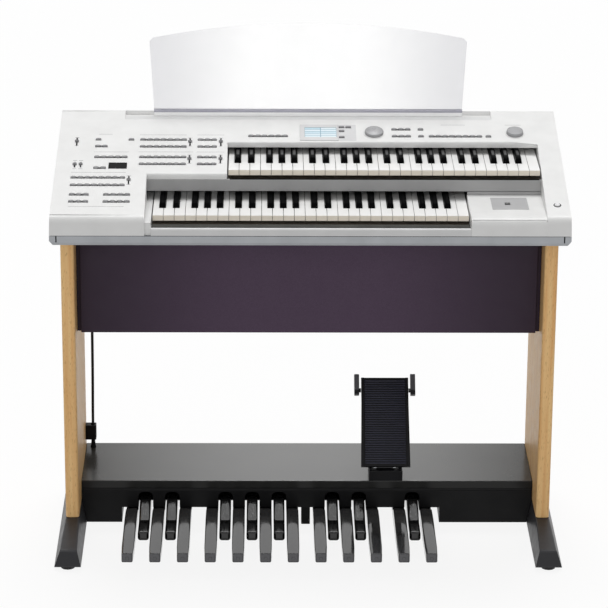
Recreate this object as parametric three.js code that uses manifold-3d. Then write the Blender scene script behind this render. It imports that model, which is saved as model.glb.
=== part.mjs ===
// Electronic organ: two 49-key manuals in a sloped console on wooden legs, with a 20-note
// pedalboard, an expression pedal and a removable music rest.
// Millimetres, +Z up, front towards -Y, +X to the player's right.
// The working datum is the front edge of the lower white keys at floor level. The finished
// group is moved so that its origin is the centre of its footprint on the floor.
import * as THREE from "three";
import { mergeVertices } from "three/addons/utils/BufferGeometryUtils.js";
import Module from "manifold-3d";

const wasm = await Module();
wasm.setup();

// Console. Places across it are counted in white keys from the middle of the case.
const keyTopHeight = 789;
const caseWidth = 1117;
const caseWidthInKeys = 47.532;
const whiteKeyPitch = caseWidth / caseWidthInKeys;
const inKeys = (pitches) => whiteKeyPitch * pitches;
const caseDepth = 444;
const frontOverhang = 55;
const frontRise = 17;
const rearRise = 128;
const caseWall = 3;
const caseEdgeRadius = 10;
const caseFrontRadius = 18;
const caseFrontSteps = 5;
const caseEndDraft = 5;
const seamDrop = 24;
const trayDrop = 46;
const trayFloor = 10;
const trayWall = 8;
const trayChamfer = 7;
const trayEndChamfer = 8;
const trayEndRise = 11;
const cheekLeft = inKeys(-15.106);
const cheekRight = inKeys(21.532);
const cheekLedge = inKeys(0.574);
const cheekLedgeRise = 4;
const ledgeSetback = 6;
const seatGap = 0.3;
const cutOverrun = 20;

// Manuals
const whiteKeyCount = 29;
const keyGap = 1;
const keyThickness = 12;
const keyVisibleLength = 145;
const keyTail = 70;
const blackSetback = 50;
const blackWidth = inKeys(0.57);
const blackHeight = 12;
const blackRake = 5;
const blackSideGap = 0.8;
const keyWebDepth = 8;
const webSpacing = 7;
const keyRunningGap = 0.6;
const keyDip = 10.8;
const blackLift = 3;
const lowerKeysLeft = inKeys(-14.447);
const upperKeysLeft = inKeys(-7.553);
const manualStepBack = 126;
const lowerKeysLift = 4.5;
const manualStepUp = 67;
const keyFrameBase = 2;
const keyFrameFront = 12;
const keyStopDepth = 18;
const pivotRib = 5;
const pivotRibDrop = 2;
const upperFrameDrop = 41;
const upperFrameLeg = 10;

// Front rails and the right deck
const slipDrop = 7;
const slipKeyGap = 17;
const slipEdgeRadius = 5;
const slipLipDepth = 28;
const slipShelfDrop = 11;
const deckRise = 15;
const deckLeft = inKeys(14.638);
const riserSetback = 8;
const riserTop = 48;
const riserBottom = 22;
const riserThickness = 3;
const riserFlange = 6;
const riserRollRadius = 7;
const upperWellMargin = 2.5;
const upperWellBackTop = 247;
const upperWellBackBottom = 275;
const upperLipRise = 81;

// Controls, placed by distance across the console and up the sloped panel
const buttonLength = 12.2;
const buttonWidth = 7;
const buttonProud = 2.4;
const buttonTravel = 1;
const buttonPitch = inKeys(0.645);
const controlGap = 0.4;
const carrierThickness = 1.6;
const carrierWidth = 9;
const sliderCapLength = 5;
const sliderCapWidth = 9;
const sliderCapHeight = 5;
const sliderStem = 2.4;
const sliderSlotWidth = 3.4;
const sliderTravel = 16;
const shortSliderTravel = 9;
const sliderCarrierDrop = 9;
const leftColumn = inKeys(-21.864);
const leftMiddleColumn = inKeys(-19.847);
const leftThirdColumn = inKeys(-18.715);
const leftEdgeColumn = inKeys(-16.74);
const voiceColumn = inKeys(-15.643);
const voiceSecondColumn = inKeys(-10.226);
const voiceSliderColumn = inKeys(-11.2);
const voiceSecondSliderColumn = inKeys(-8.298);
const voiceTopRow = 321.8;
const voiceSecondRow = 292.3;
const voiceThirdRow = 247.8;
const voiceBottomRow = 218.9;
const voiceRows = [voiceTopRow, voiceSecondRow, voiceThirdRow, voiceBottomRow];
const voiceUpperSliderRow = 312.3;
const voiceLowerSliderRow = 240;
const voiceSliderRows = [voiceUpperSliderRow, voiceLowerSliderRow];
const voiceBridgeRow = 276;
const topButtonRow = 322;
const secondButtonRow = 293.2;
const fiveButtonRow = 247.6;
const flatButtonRow = 202.3;
const rhythmUpperRow = 162.2;
const rhythmLowerRow = 131.5;
const eightButtonRows = [rhythmUpperRow, rhythmLowerRow];
const lowUpperRow = 92.8;
const lowLowerRow = 64.6;
const lowButtonRows = [lowUpperRow, lowLowerRow];
const leftSpineColumn = inKeys(-20.17);
const masterSliderRow = 313;
const shortSliderRow = 216;
const tempoSliderRow = 152.3;
const shortSliderSpacing = inKeys(0.557);
const displayLeft = inKeys(-18.702);
const displayWidth = inKeys(1.702);
const displayRow = 212;
const displayHeight = 25;
const memoryColumn = inKeys(-5.455);
const memoryButtonCount = 6;
const functionRow = 338.2;
const functionTopRow = 367.8;
const screenLeft = inKeys(-0.826);
const screenWidth = inKeys(3.617);
const screenRow = 353.5;
const screenHeight = 68;
const screenProud = 1;
const menuColumn = inKeys(3.132);
const menuTopRow = 377;
const menuMiddleRow = 360.3;
const menuBottomRow = 334;
const menuRows = [menuTopRow, menuMiddleRow, menuBottomRow];
const registerColumn = inKeys(8.128);
const registerLoneColumn = inKeys(10.63);
const styleColumn = inKeys(11.638);
const styleButtonCount = 8;
const startColumn = inKeys(17.013);
const dialColumn = inKeys(6.204);
const dialRow = 352.8;
const dialRadius = 21;
const dialHeight = 7;
const knobColumn = inKeys(19.557);
const knobRadius = 19;
const knobHeight = 8;
const spindleRadius = 3;
const spindleLength = 14;
const powerColumn = inKeys(22.579);
const powerRow = 53.8;
const powerRadius = 6;
const powerProud = 2.5;
const powerFlange = 2;
const roundSides = 24;
const spindleSides = 12;
const mediaLeft = inKeys(16.723);
const mediaWidth = inKeys(3.362);
const mediaFront = 12;
const mediaDepth = 79;
const mediaProud = 1;
const portLeft = inKeys(17.957);
const portWidth = 12;
const portFront = 42;
const portDepth = 18;
const boardWidth = inKeys(6.383);
const boardDepth = 180;
const boardThickness = 1.6;
const boardCentre = inKeys(-19.787);
const boardStandoff = 13;
const boardInset = 8;
const inletWidth = 48;
const inletHeight = 26;
const inletDepth = 30;
const inletWall = 4;
const inletFloor = 10;

// Music rest
const recessHalfWidth = inKeys(17.489);
const recessWidthBack = 41;
const recessInset = 5;
const recessDrop = 11.25;
const railHalfWidth = inKeys(14.766);
const railProud = 14.5;
const railDepth = 12;
const restBottomHalfWidth = inKeys(14.723);
const restTopHalfWidth = inKeys(15.191);
const restCornerHeight = 168;
const restHeight = 202;
const restThickness = 4;
const restSeat = 7;
const restEndGap = 1;
const restLean = THREE.MathUtils.degToRad(14);
const restCornerRadius = 8;

// Legs, feet and knee panel
const legInset = 16;
const legThickness = 30;
const legFront = 49;
const legDepth = 322;
const legBottom = 62;
const legEdgeRadius = 7;
const footOuterFlare = 18;
const footInnerFlare = 10.8;
const footNose = 96;
const footNoseHeight = 48;
const footSole = 6.5;
const footTail = 18;
const footNoseChamfer = 3;
const glideRadius = 16;
const glideInset = 18;
const kneeSetback = 60;
const kneeThickness = 18;
const kneeBottom = 483;
const kneeSideGap = 9;
const kneeTongue = 8;

// Pedal base
const baseTop = 108;
const baseBoardThickness = 18;
const baseSetback = 101;
const housingWall = 16;
const fasciaBottom = 42;
const housingBottom = 5;
const fasciaLip = 6;
const fasciaLipSetback = 2;
const pedalWellMargin = 10;
const pedalWellRightMargin = 18.5;
const sharpNotchWidth = inKeys(1.404);
const sharpNotchTop = 80;
const sharpNotchRadius = 14;
const supportWidth = inKeys(0.851);
const supportDepth = 30;
const supportColumn = inKeys(-0.128);

// Pedals
const pedalPitch = inKeys(2.579);
const pedalboardCentre = inKeys(-2.723);
const naturalCount = 12;
const naturalWidth = inKeys(1.17);
const naturalTaper = 1.5;
const naturalTaperLength = 46;
const naturalFront = 140;
const naturalFrontLean = 5;
const naturalFrontHeight = 61;
const naturalCrestY = 60;
const naturalCrestHeight = 59;
const naturalDropY = 118;
const naturalDropHeight = 53;
const pedalFrontFace = 20;
const sharpWidth = inKeys(1.064);
const sharpFront = 9;
const sharpFrontHeight = 53;
const sharpCrestY = 66;
const sharpCrestHeight = 58;
const sharpRearHeight = 70;
const sharpDropY = 196;
const sharpFootY = 246;
const pedalTailGap = 3;
const pedalTailHeight = 34;
const pedalTailThickness = 20;
const pedalFasciaGap = 2.5;
const pedalPivotInset = 8;
const pivotRodRadius = 3;
const pivotRodGap = 0.4;
const pivotRodSides = 10;

// Expression pedal
const treadCentre = inKeys(7.596);
const treadWidth = 108;
const treadHeelFlare = 2;
const treadFlareLength = 150;
const treadLength = 212;
const treadThickness = 9;
const treadAngle = THREE.MathUtils.degToRad(50);
const treadHeelY = 156;
const treadHeelHeight = 141;
const treadBorder = 7;
const treadBorderHeight = 1.5;
const bossWidth = 44;
const bossDepth = 26;
const bossInset = 8;
const bossLength = 26;
const bracketWidth = 76;
const bracketEar = 8;
const bracketPlate = 6;
const bracketLength = 70;
const bracketEarLength = 30;
const bracketEarLead = 8;
const bracketShroudTop = 132;
const bracketShroudDepth = 20;
const bracketPinRadius = 4;
const switchWidth = 11.5;
const switchLength = 50;
const switchThickness = 12;
const switchStart = 171;
const switchGap = 4.5;
const switchArmRadius = 5;
const switchArmInset = 12;
const switchArmGap = 0.6;

// Pedal lead, clipped to the left leg between the console and the pedal base
const leadRadius = 3.3;
const leadSides = 8;
const leadSteps = 20;
const leadFromLeg = 16.5;
const leadY = 348;
const leadEndGap = 0.3;
const leadBow = 2;
const clipHeight = 36;
const clipDepth = 20;
const clipBottom = 129;
const clipOuter = 8;

// Places worked out from the sizes above
const caseFrontY = -frontOverhang;
const caseRearY = caseDepth - frontOverhang;
const seamZ = keyTopHeight - seamDrop;
const trayBottomZ = keyTopHeight - trayDrop;
const trayFloorZ = trayBottomZ + trayFloor;
const caseFrontZ = keyTopHeight + frontRise;
const panelSlope = (rearRise - frontRise) / caseDepth;
const panelAngle = Math.atan(panelSlope);
const halfCase = caseWidth / 2;
const recessBack = caseRearY - recessInset;
const recessFront = recessBack - recessWidthBack;
const recessRise = rearRise - recessDrop - recessInset * panelSlope;
const railRise = recessRise + railProud;
const manualWidth = whiteKeyPitch * whiteKeyCount;
const keyLength = keyVisibleLength + keyTail;
const riserY = manualStepBack - riserSetback;
const wellLeft = upperKeysLeft - upperWellMargin;
const wellRight = upperKeysLeft + manualWidth + upperWellMargin;
const legOuter = halfCase - legInset;
const legInner = legOuter - legThickness;
const leadColumn = leadFromLeg - legInner;
const legRear = legFront + legDepth;
const pedalTailY = legRear - housingWall - pedalTailGap;
const naturalSpan = pedalPitch * (naturalCount - 1) + naturalWidth;
const pedalWellLeft = pedalboardCentre - naturalSpan / 2 - pedalWellMargin;
const pedalWellRight = pedalboardCentre + naturalSpan / 2 + pedalWellRightMargin;
const baseFrontY = legFront + baseSetback;
const baseBoardZ = baseTop - baseBoardThickness;
const pedalPivotY = pedalTailY - pedalPivotInset;
const pedalPivotZ = pedalTailHeight - pedalTailThickness / 2;
const restY = recessBack - railDepth + restThickness;

const finish = {
  whiteShell: { color: 0xebebeb, roughness: 0.45, metalness: 0 },
  greyShell: { color: 0x8e9093, roughness: 0.5, metalness: 0.1 },
  silverTrim: { color: 0x8f9399, roughness: 0.4, metalness: 0.4 },
  palePlastic: { color: 0xd9d9d9, roughness: 0.5, metalness: 0 },
  keyWhite: { color: 0xf6f3ea, roughness: 0.25, metalness: 0 },
  keyBlack: { color: 0x141414, roughness: 0.35, metalness: 0 },
  beech: { color: 0xd2aa78, roughness: 0.55, metalness: 0 },
  plum: { color: 0x3a2f3c, roughness: 0.6, metalness: 0 },
  blackBoard: { color: 0x2a2a2a, roughness: 0.6, metalness: 0 },
  pedalGrey: { color: 0x808080, roughness: 0.5, metalness: 0 },
  footGrey: { color: 0x3a3a3e, roughness: 0.6, metalness: 0 },
  steel: { color: 0xa0a0a0, roughness: 0.35, metalness: 0.9 },
  rubberBlack: { color: 0x161618, roughness: 0.8, metalness: 0 },
  screenBlue: { color: 0xa8d4ee, roughness: 0.2, metalness: 0 },
  displayBlack: { color: 0x050505, roughness: 0.1, metalness: 0 },
  boardGreen: { color: 0x1f5a36, roughness: 0.6, metalness: 0 },
  frosted: { color: 0xf4f4f6, roughness: 0.3, metalness: 0 },
};

const instrument = new THREE.Group();

// Solids and booleans

function solidFrom(geometry) {
  const bare = geometry.clone();
  bare.deleteAttribute("normal");
  bare.deleteAttribute("uv");
  const merged = mergeVertices(bare, 1e-4);
  const corners = merged.index.array;
  return new wasm.Manifold(
    new wasm.Mesh({
      numProp: 3,
      vertProperties: merged.attributes.position.array,
      triVerts: new Uint32Array(corners),
    }),
  );
}

function geometryFrom(solid) {
  const mesh = solid.getMesh();
  const geometry = new THREE.BufferGeometry();
  geometry.setAttribute("position", new THREE.BufferAttribute(mesh.vertProperties, 3));
  geometry.setIndex(new THREE.BufferAttribute(mesh.triVerts, 1));
  geometry.computeVertexNormals();
  return geometry;
}

function join(...solids) {
  return solids.reduce((whole, piece) => whole.add(piece));
}

function cut(solid, ...tools) {
  return tools.reduce((left, tool) => left.subtract(tool), solid);
}

function block(x0, x1, y0, y1, z0, z1) {
  const geometry = new THREE.BoxGeometry(x1 - x0, y1 - y0, z1 - z0);
  geometry.translate((x0 + x1) / 2, (y0 + y1) / 2, (z0 + z1) / 2);
  return solidFrom(geometry);
}

function extruded(points, length) {
  const shape = new THREE.Shape(points.map(([a, b]) => new THREE.Vector2(a, b)));
  return new THREE.ExtrudeGeometry(shape, { depth: length, bevelEnabled: false });
}

// A side outline in (y, z) drawn out across the instrument from x0 to x1.
function prismAcross(points, x0, x1) {
  const geometry = extruded(points, x1 - x0);
  const turn = new THREE.Matrix4().makeBasis(
    new THREE.Vector3(0, 1, 0),
    new THREE.Vector3(0, 0, 1),
    new THREE.Vector3(1, 0, 0),
  );
  geometry.applyMatrix4(turn);
  geometry.translate(x0, 0, 0);
  return solidFrom(geometry);
}

// A front outline in (x, z) drawn out from y0 back to y1.
function prismBack(points, y0, y1) {
  const geometry = extruded(points, y1 - y0);
  const turn = new THREE.Matrix4().makeBasis(
    new THREE.Vector3(1, 0, 0),
    new THREE.Vector3(0, 0, 1),
    new THREE.Vector3(0, -1, 0),
  );
  geometry.applyMatrix4(turn);
  geometry.translate(0, y1, 0);
  return solidFrom(geometry);
}

// A plan outline in (x, y) drawn up from z0 to z1.
function prismUp(points, z0, z1) {
  const geometry = extruded(points, z1 - z0);
  geometry.translate(0, 0, z0);
  return solidFrom(geometry);
}

function roundBar(radius, length, sides) {
  return new THREE.CylinderGeometry(radius, radius, length, sides);
}

function uprightBar(radius, x, y, z0, z1, sides) {
  const geometry = roundBar(radius, z1 - z0, sides);
  geometry.rotateX(Math.PI / 2);
  geometry.translate(x, y, (z0 + z1) / 2);
  return solidFrom(geometry);
}

function crossBar(radius, x0, x1, y, z, sides) {
  const geometry = roundBar(radius, x1 - x0, sides);
  geometry.rotateZ(Math.PI / 2);
  geometry.translate((x0 + x1) / 2, y, z);
  return solidFrom(geometry);
}

// Points along a rounded corner at b on the way from a to c.
function roundedCorner(a, b, c, radius, steps = 3) {
  const towards = (p) => new THREE.Vector2(p[0] - b[0], p[1] - b[1]).normalize();
  const u = towards(a);
  const v = towards(c);
  const half = Math.acos(THREE.MathUtils.clamp(u.dot(v), -1, 1)) / 2;
  const reach = radius / Math.tan(half);
  const start = new THREE.Vector2(b[0], b[1]).addScaledVector(u, reach);
  const end = new THREE.Vector2(b[0], b[1]).addScaledVector(v, reach);
  const corner = new THREE.Vector2(b[0], b[1]);
  const curve = new THREE.QuadraticBezierCurve(start, corner, end);
  return curve.getPoints(steps).map((p) => [p.x, p.y]);
}

// A closed outline whose corners are rounded by the radius given with each corner.
function roundedOutline(corners) {
  const count = corners.length;
  return corners.flatMap(([x, y, radius, steps], i) => {
    if (!radius) return [[x, y]];
    const before = corners[(i + count - 1) % count];
    const after = corners[(i + 1) % count];
    return roundedCorner(before, [x, y], after, radius, steps);
  });
}

function add(name, solid, look, place = {}, parent = instrument) {
  const mesh = new THREE.Mesh(geometryFrom(solid), new THREE.MeshStandardMaterial(look));
  mesh.name = name;
  mesh.position.set(...(place.position ?? [0, 0, 0]));
  parent.add(mesh);
  return mesh;
}

// Heights on the sloped panel

function panelZ(y) {
  return caseFrontZ + panelSlope * (y - caseFrontY);
}

// A solid drawn flat, with y up the slope from the front corner and z = 0 on the panel's face,
// laid on the slope.
function onPanel(solid) {
  const place = new THREE.Matrix4().makeRotationX(panelAngle);
  place.setPosition(0, caseFrontY, caseFrontZ);
  const geometry = geometryFrom(solid);
  geometry.applyMatrix4(place);
  return solidFrom(geometry);
}

function panelBlock(column, row, length, width, z0, z1) {
  const half = length / 2;
  const deep = width / 2;
  return block(column - half, column + half, row - deep, row + deep, z0, z1);
}

// Console casing

function caseOutline(inset) {
  const rearRadius = Math.max(caseEdgeRadius - inset, inset);
  const frontRadius = Math.max(caseFrontRadius - inset, inset);
  const drop = inset / Math.cos(panelAngle);
  const front = caseFrontY + inset;
  const rear = caseRearY - inset;
  const foot = inset ? seamZ - cutOverrun : seamZ;
  return roundedOutline([
    [front, foot],
    [rear, foot],
    [rear, panelZ(rear) - drop, rearRadius],
    [front, panelZ(front) - drop, frontRadius, caseFrontSteps],
  ]);
}

// The casing's closed form, with end faces that lean in towards the top.
function caseForm(inset) {
  const end = halfCase - inset;
  const top = keyTopHeight + rearRise;
  const ends = [
    [-end, seamZ - cutOverrun],
    [end, seamZ - cutOverrun],
    [end, seamZ],
    [end - caseEndDraft, top],
    [-end + caseEndDraft, top],
    [-end, seamZ],
  ];
  return prismAcross(caseOutline(inset), -halfCase, halfCase).intersect(
    prismBack(ends, caseFrontY - cutOverrun, caseRearY + cutOverrun),
  );
}

function lowerWell(wall) {
  return block(
    cheekLeft - wall,
    cheekRight + wall,
    caseFrontY - cutOverrun,
    riserY + wall,
    trayBottomZ,
    keyTopHeight + rearRise,
  );
}

function upperWell(wall) {
  const top = keyTopHeight + rearRise;
  const lip = keyTopHeight + upperLipRise;
  const outline = [
    [riserY - cutOverrun, riserTop + keyTopHeight - wall],
    [upperWellBackBottom + wall, riserTop + keyTopHeight - wall],
    [upperWellBackBottom + wall, lip + wall],
    [upperWellBackTop + wall, lip + wall],
    [upperWellBackTop + wall, top],
    [riserY - cutOverrun, top],
  ];
  return prismAcross(outline, wellLeft - wall, wellRight + wall);
}

function restRecess(wall) {
  return block(
    -recessHalfWidth - wall,
    recessHalfWidth + wall,
    recessFront - wall,
    recessBack + Math.min(wall, caseWall / 2),
    keyTopHeight + recessRise - wall,
    keyTopHeight + rearRise + cutOverrun,
  );
}

// The front edge of the upper panel is rolled over above the grey riser.
function rollCutter() {
  const y = riserY;
  const z = panelZ(y);
  const onSlope = [y + cutOverrun, panelZ(y + cutOverrun)];
  const outline = [
    [y - cutOverrun, z + cutOverrun],
    [y - cutOverrun, z - riserRollRadius],
    ...roundedCorner([y, z - cutOverrun], [y, z], onSlope, riserRollRadius),
    [y + cutOverrun, z + cutOverrun],
  ];
  return prismAcross(outline, cheekLeft, wellLeft - caseWall);
}

function interiorBelowUpperManual() {
  return block(
    cheekLeft,
    cheekRight,
    riserY - cutOverrun,
    caseRearY - caseWall,
    trayBottomZ,
    keyTopHeight + riserTop,
  );
}

function openingBehindUpperKeys() {
  return block(
    wellLeft,
    wellRight,
    riserY,
    caseRearY - caseWall - cutOverrun,
    trayBottomZ,
    keyTopHeight + upperLipRise,
  );
}

function leftCheekLedge() {
  return block(
    cheekLeft,
    cheekLeft + cheekLedge,
    caseFrontY + ledgeSetback,
    riserY,
    seamZ,
    keyTopHeight + cheekLedgeRise,
  );
}

function inletOpening(gap) {
  const half = inletWidth / 2 + gap;
  const foot = inletSeatZ() - boardThickness;
  return block(
    boardCentre - half,
    boardCentre + half,
    caseRearY - inletDepth,
    caseRearY + cutOverrun,
    foot,
    inletSeatZ() + inletHeight + gap,
  );
}

function topCase() {
  const outer = cut(
    caseForm(0),
    lowerWell(0),
    upperWell(0),
    restRecess(0),
  );
  const inner = cut(
    caseForm(caseWall),
    lowerWell(caseWall),
    upperWell(caseWall),
    restRecess(caseWall),
  );
  const shell = cut(
    outer,
    inner,
    interiorBelowUpperManual(),
    openingBehindUpperKeys(),
    rollCutter(),
    inletOpening(seatGap),
    onPanel(join(...panelOpenings())),
  );
  return join(shell, leftCheekLedge());
}

function keybedTray() {
  const outline = [
    [caseFrontY + trayChamfer / 2, trayBottomZ],
    [caseRearY - trayChamfer / 2, trayBottomZ],
    [caseRearY, trayBottomZ + trayChamfer],
    [caseRearY, seamZ],
    [caseFrontY, seamZ],
    [caseFrontY, trayBottomZ + trayChamfer],
  ];
  const pocket = block(
    -halfCase + trayWall,
    halfCase - trayWall,
    caseFrontY + trayWall,
    caseRearY - trayWall,
    trayFloorZ,
    seamZ + cutOverrun,
  );
  const ends = [
    [-halfCase + trayEndChamfer, trayBottomZ],
    [halfCase - trayEndChamfer, trayBottomZ],
    [halfCase, trayBottomZ + trayEndRise],
    [halfCase, seamZ],
    [-halfCase, seamZ],
    [-halfCase, trayBottomZ + trayEndRise],
  ];
  const form = prismAcross(outline, -halfCase, halfCase).intersect(
    prismBack(ends, caseFrontY - cutOverrun, caseRearY + cutOverrun),
  );
  return cut(form, pocket);
}

// The slip has a raised lip at the front and a lower shelf behind it, under the key fronts.
function keySlip() {
  const top = keyTopHeight - slipDrop;
  const lipBack = caseFrontY + slipLipDepth;
  const outline = roundedOutline([
    [caseFrontY, seamZ],
    [-slipKeyGap, seamZ],
    [-slipKeyGap, top - slipShelfDrop],
    [lipBack, top - slipShelfDrop],
    [lipBack, top, slipEdgeRadius],
    [caseFrontY, top, slipEdgeRadius],
  ]);
  return prismAcross(outline, cheekLeft + cheekLedge, deckLeft);
}

function rightDeck() {
  const top = keyTopHeight + deckRise;
  const outline = roundedOutline([
    [caseFrontY, seamZ],
    [riserY - riserThickness, seamZ],
    [riserY - riserThickness, top],
    [caseFrontY, top, caseFrontRadius, caseFrontSteps],
  ]);
  const hollow = block(
    deckLeft + caseWall,
    cheekRight - caseWall,
    caseFrontY + caseWall,
    riserY - riserThickness - caseWall,
    seamZ - cutOverrun,
    top - caseWall,
  );
  const port = block(
    portLeft,
    portLeft + portWidth,
    portFront,
    portFront + portDepth,
    seamZ,
    top + cutOverrun,
  );
  return cut(prismAcross(outline, deckLeft, cheekRight), hollow, port);
}

function mediaPanel() {
  const face = keyTopHeight + deckRise;
  const plate = block(
    mediaLeft,
    mediaLeft + mediaWidth,
    mediaFront,
    mediaFront + mediaDepth,
    face,
    face + mediaProud,
  );
  const port = block(
    portLeft,
    portLeft + portWidth,
    portFront,
    portFront + portDepth,
    face - cutOverrun,
    face + cutOverrun,
  );
  return cut(plate, port);
}

function upperKeyRail() {
  const top = keyTopHeight + riserTop;
  const bottom = keyTopHeight + riserBottom;
  const outline = [
    [riserY - riserThickness, bottom],
    [riserY, bottom],
    [riserY, top - riserThickness],
    [riserY + riserFlange, top - riserThickness],
    [riserY + riserFlange, top],
    [riserY - riserThickness, top],
  ];
  return prismAcross(outline, cheekLeft, cheekRight);
}

// Manuals: each set of keys is moulded as tongues on a rear web that rocks in the key frame.

const naturalsPerOctave = 7;
const sharpsAfterNaturals = [0, 1, 3, 4, 5];
const sharpShiftShares = [-0.13, 0.13, -0.16, 0, 0.16];

function blackKeyCentres() {
  const centres = [];
  for (let natural = 0; natural < whiteKeyCount - 1; natural++) {
    const place = sharpsAfterNaturals.indexOf(natural % naturalsPerOctave);
    if (place < 0) continue;
    centres.push((natural + 1 + sharpShiftShares[place]) * whiteKeyPitch);
  }
  return centres;
}

function notchEdge(x, centres) {
  const reach = blackWidth / 2 + blackSideGap;
  const near = centres.find((centre) => Math.abs(centre - x) < whiteKeyPitch / 2);
  return near === undefined ? null : [near - reach, near + reach];
}

// Plan of the white keys as one comb: a slit between neighbours, widened where a black key sits.
function whiteKeyPlan() {
  const centres = blackKeyCentres();
  const slitEnd = keyLength - keyWebDepth;
  const half = keyGap / 2;
  const plan = [[half, 0]];
  for (let n = 1; n < whiteKeyCount; n++) {
    const x = n * whiteKeyPitch;
    const notch = notchEdge(x, centres);
    const [left, right] = notch ?? [x - half, x + half];
    plan.push([x - half, 0]);
    if (notch) plan.push([x - half, blackSetback], [left, blackSetback]);
    plan.push([left, slitEnd], [right, slitEnd]);
    if (notch) plan.push([right, blackSetback], [x + half, blackSetback]);
    plan.push([x + half, 0]);
  }
  plan.push([manualWidth - half, 0], [manualWidth - half, keyLength], [half, keyLength]);
  return plan;
}

function whiteKeys() {
  return prismUp(whiteKeyPlan(), -keyThickness, 0);
}

function blackKeySide() {
  const front = blackSetback + blackSideGap;
  const step = keyLength - keyWebDepth - blackLift;
  const rear = keyLength + webSpacing + keyWebDepth;
  return [
    [front, -keyThickness],
    [step, -keyThickness],
    [step, blackLift],
    [rear - keyWebDepth, blackLift],
    [rear - keyWebDepth, -keyThickness],
    [rear, -keyThickness],
    [rear, blackHeight],
    [front + blackRake, blackHeight],
    [front, 0],
  ];
}

function blackKeys() {
  const centres = blackKeyCentres();
  const side = blackKeySide();
  const tongues = centres.map((centre) =>
    prismAcross(side, centre - blackWidth / 2, centre + blackWidth / 2),
  );
  const webFront = keyLength + webSpacing;
  const web = block(
    centres[0] - blackWidth / 2,
    centres[centres.length - 1] + blackWidth / 2,
    webFront,
    webFront + keyWebDepth,
    -keyThickness,
    blackLift,
  );
  return join(web, ...tongues);
}

// Side outline of a key frame: a floor, a front stop rail and rear ribs that locate both webs.
function keyFrameSide(floorDrop, legDrop) {
  const rear = keyLength + webSpacing + keyWebDepth + keyRunningGap + pivotRib;
  const seat = -keyThickness - keyRunningGap;
  const ribTop = -pivotRibDrop;
  const stop = seat - keyDip;
  const webEnd = keyLength + keyRunningGap;
  const blackWeb = keyLength + webSpacing - keyRunningGap;
  const seatFront = keyLength - keyWebDepth;
  const legFoot = legDrop ? -legDrop : -floorDrop;
  return [
    [keyFrameFront, -floorDrop],
    [rear - upperFrameLeg, -floorDrop],
    [rear - upperFrameLeg, legFoot],
    [rear, legFoot],
    [rear, ribTop],
    [rear - pivotRib, ribTop],
    [rear - pivotRib, seat],
    [blackWeb, seat],
    [blackWeb, ribTop],
    [webEnd, ribTop],
    [webEnd, seat],
    [seatFront, seat],
    [seatFront, keyFrameBase - floorDrop],
    [keyFrameFront + keyStopDepth, keyFrameBase - floorDrop],
    [keyFrameFront + keyStopDepth, stop],
    [keyFrameFront, stop],
  ].filter(([y, z], i, all) => i === 0 || y !== all[i - 1][0] || z !== all[i - 1][1]);
}

function keyFrame(floorDrop, legDrop) {
  return prismAcross(keyFrameSide(floorDrop, legDrop), 0, manualWidth);
}

function addManual(label, left, front, top, floorDrop, legDrop) {
  const position = [left, front, top];
  add(label + "_white_keys", whiteKeys(), finish.keyWhite, { position });
  add(label + "_black_keys", blackKeys(), finish.keyBlack, { position });
  add(label + "_key_frame", keyFrame(floorDrop, legDrop), finish.steel, { position });
}

// Buttons: each bank is a comb of caps on one carrier under the panel.

function rowOfButtons(column, row, count) {
  return Array.from({ length: count }, (_, i) => [column + i * buttonPitch, row]);
}

function underPanel(gap) {
  return -caseWall - gap;
}

function buttonCap([column, row]) {
  return panelBlock(
    column,
    row,
    buttonLength,
    buttonWidth,
    underPanel(seatGap) - carrierThickness / 2,
    buttonProud,
  );
}

function carrierStrip(column0, column1, row0, row1) {
  const centre = (column0 + column1) / 2;
  const middle = (row0 + row1) / 2;
  const top = underPanel(seatGap);
  return panelBlock(
    centre,
    middle,
    column1 - column0 + carrierWidth,
    row1 - row0 + carrierWidth,
    top - carrierThickness,
    top,
  );
}

function buttonBank(buttons, strips) {
  return onPanel(join(...strips.map((s) => carrierStrip(...s)), ...buttons.map(buttonCap)));
}

function spanOf(buttons) {
  const columns = buttons.map(([column]) => column);
  return [Math.min(...columns), Math.max(...columns)];
}

// One slot in the panel for each run of buttons in a row.
function buttonSlot(buttons) {
  const [first, last] = spanOf(buttons);
  return panelBlock(
    (first + last) / 2,
    buttons[0][1],
    last - first + buttonLength + controlGap * 2,
    buttonWidth + controlGap * 2,
    underPanel(cutOverrun),
    cutOverrun,
  );
}

const leftButtonRuns = [
  rowOfButtons(leftMiddleColumn, topButtonRow, 1),
  rowOfButtons(leftEdgeColumn, topButtonRow, 1),
  rowOfButtons(leftMiddleColumn, secondButtonRow, 2),
  rowOfButtons(leftMiddleColumn, fiveButtonRow, 5),
  rowOfButtons(leftMiddleColumn, flatButtonRow, 2),
  ...eightButtonRows.map((row) => rowOfButtons(leftColumn, row, 8)),
  ...lowButtonRows.map((row) => rowOfButtons(leftColumn, row, 3)),
  ...lowButtonRows.map((row) => rowOfButtons(leftThirdColumn, row, 4)),
];

function leftButtonStrips() {
  const spine = leftSpineColumn;
  const strips = leftButtonRuns.map((run) => {
    const [first, last] = spanOf(run);
    return [Math.min(first, spine), Math.max(last, spine), run[0][1], run[0][1]];
  });
  const lowest = lowButtonRows[lowButtonRows.length - 1];
  return [...strips, [spine, spine, lowest, topButtonRow]];
}

const voiceButtonRuns = voiceRows.flatMap((row) => [
  rowOfButtons(voiceColumn, row, naturalsPerOctave),
  rowOfButtons(voiceSecondColumn, row, 3),
]);

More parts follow.
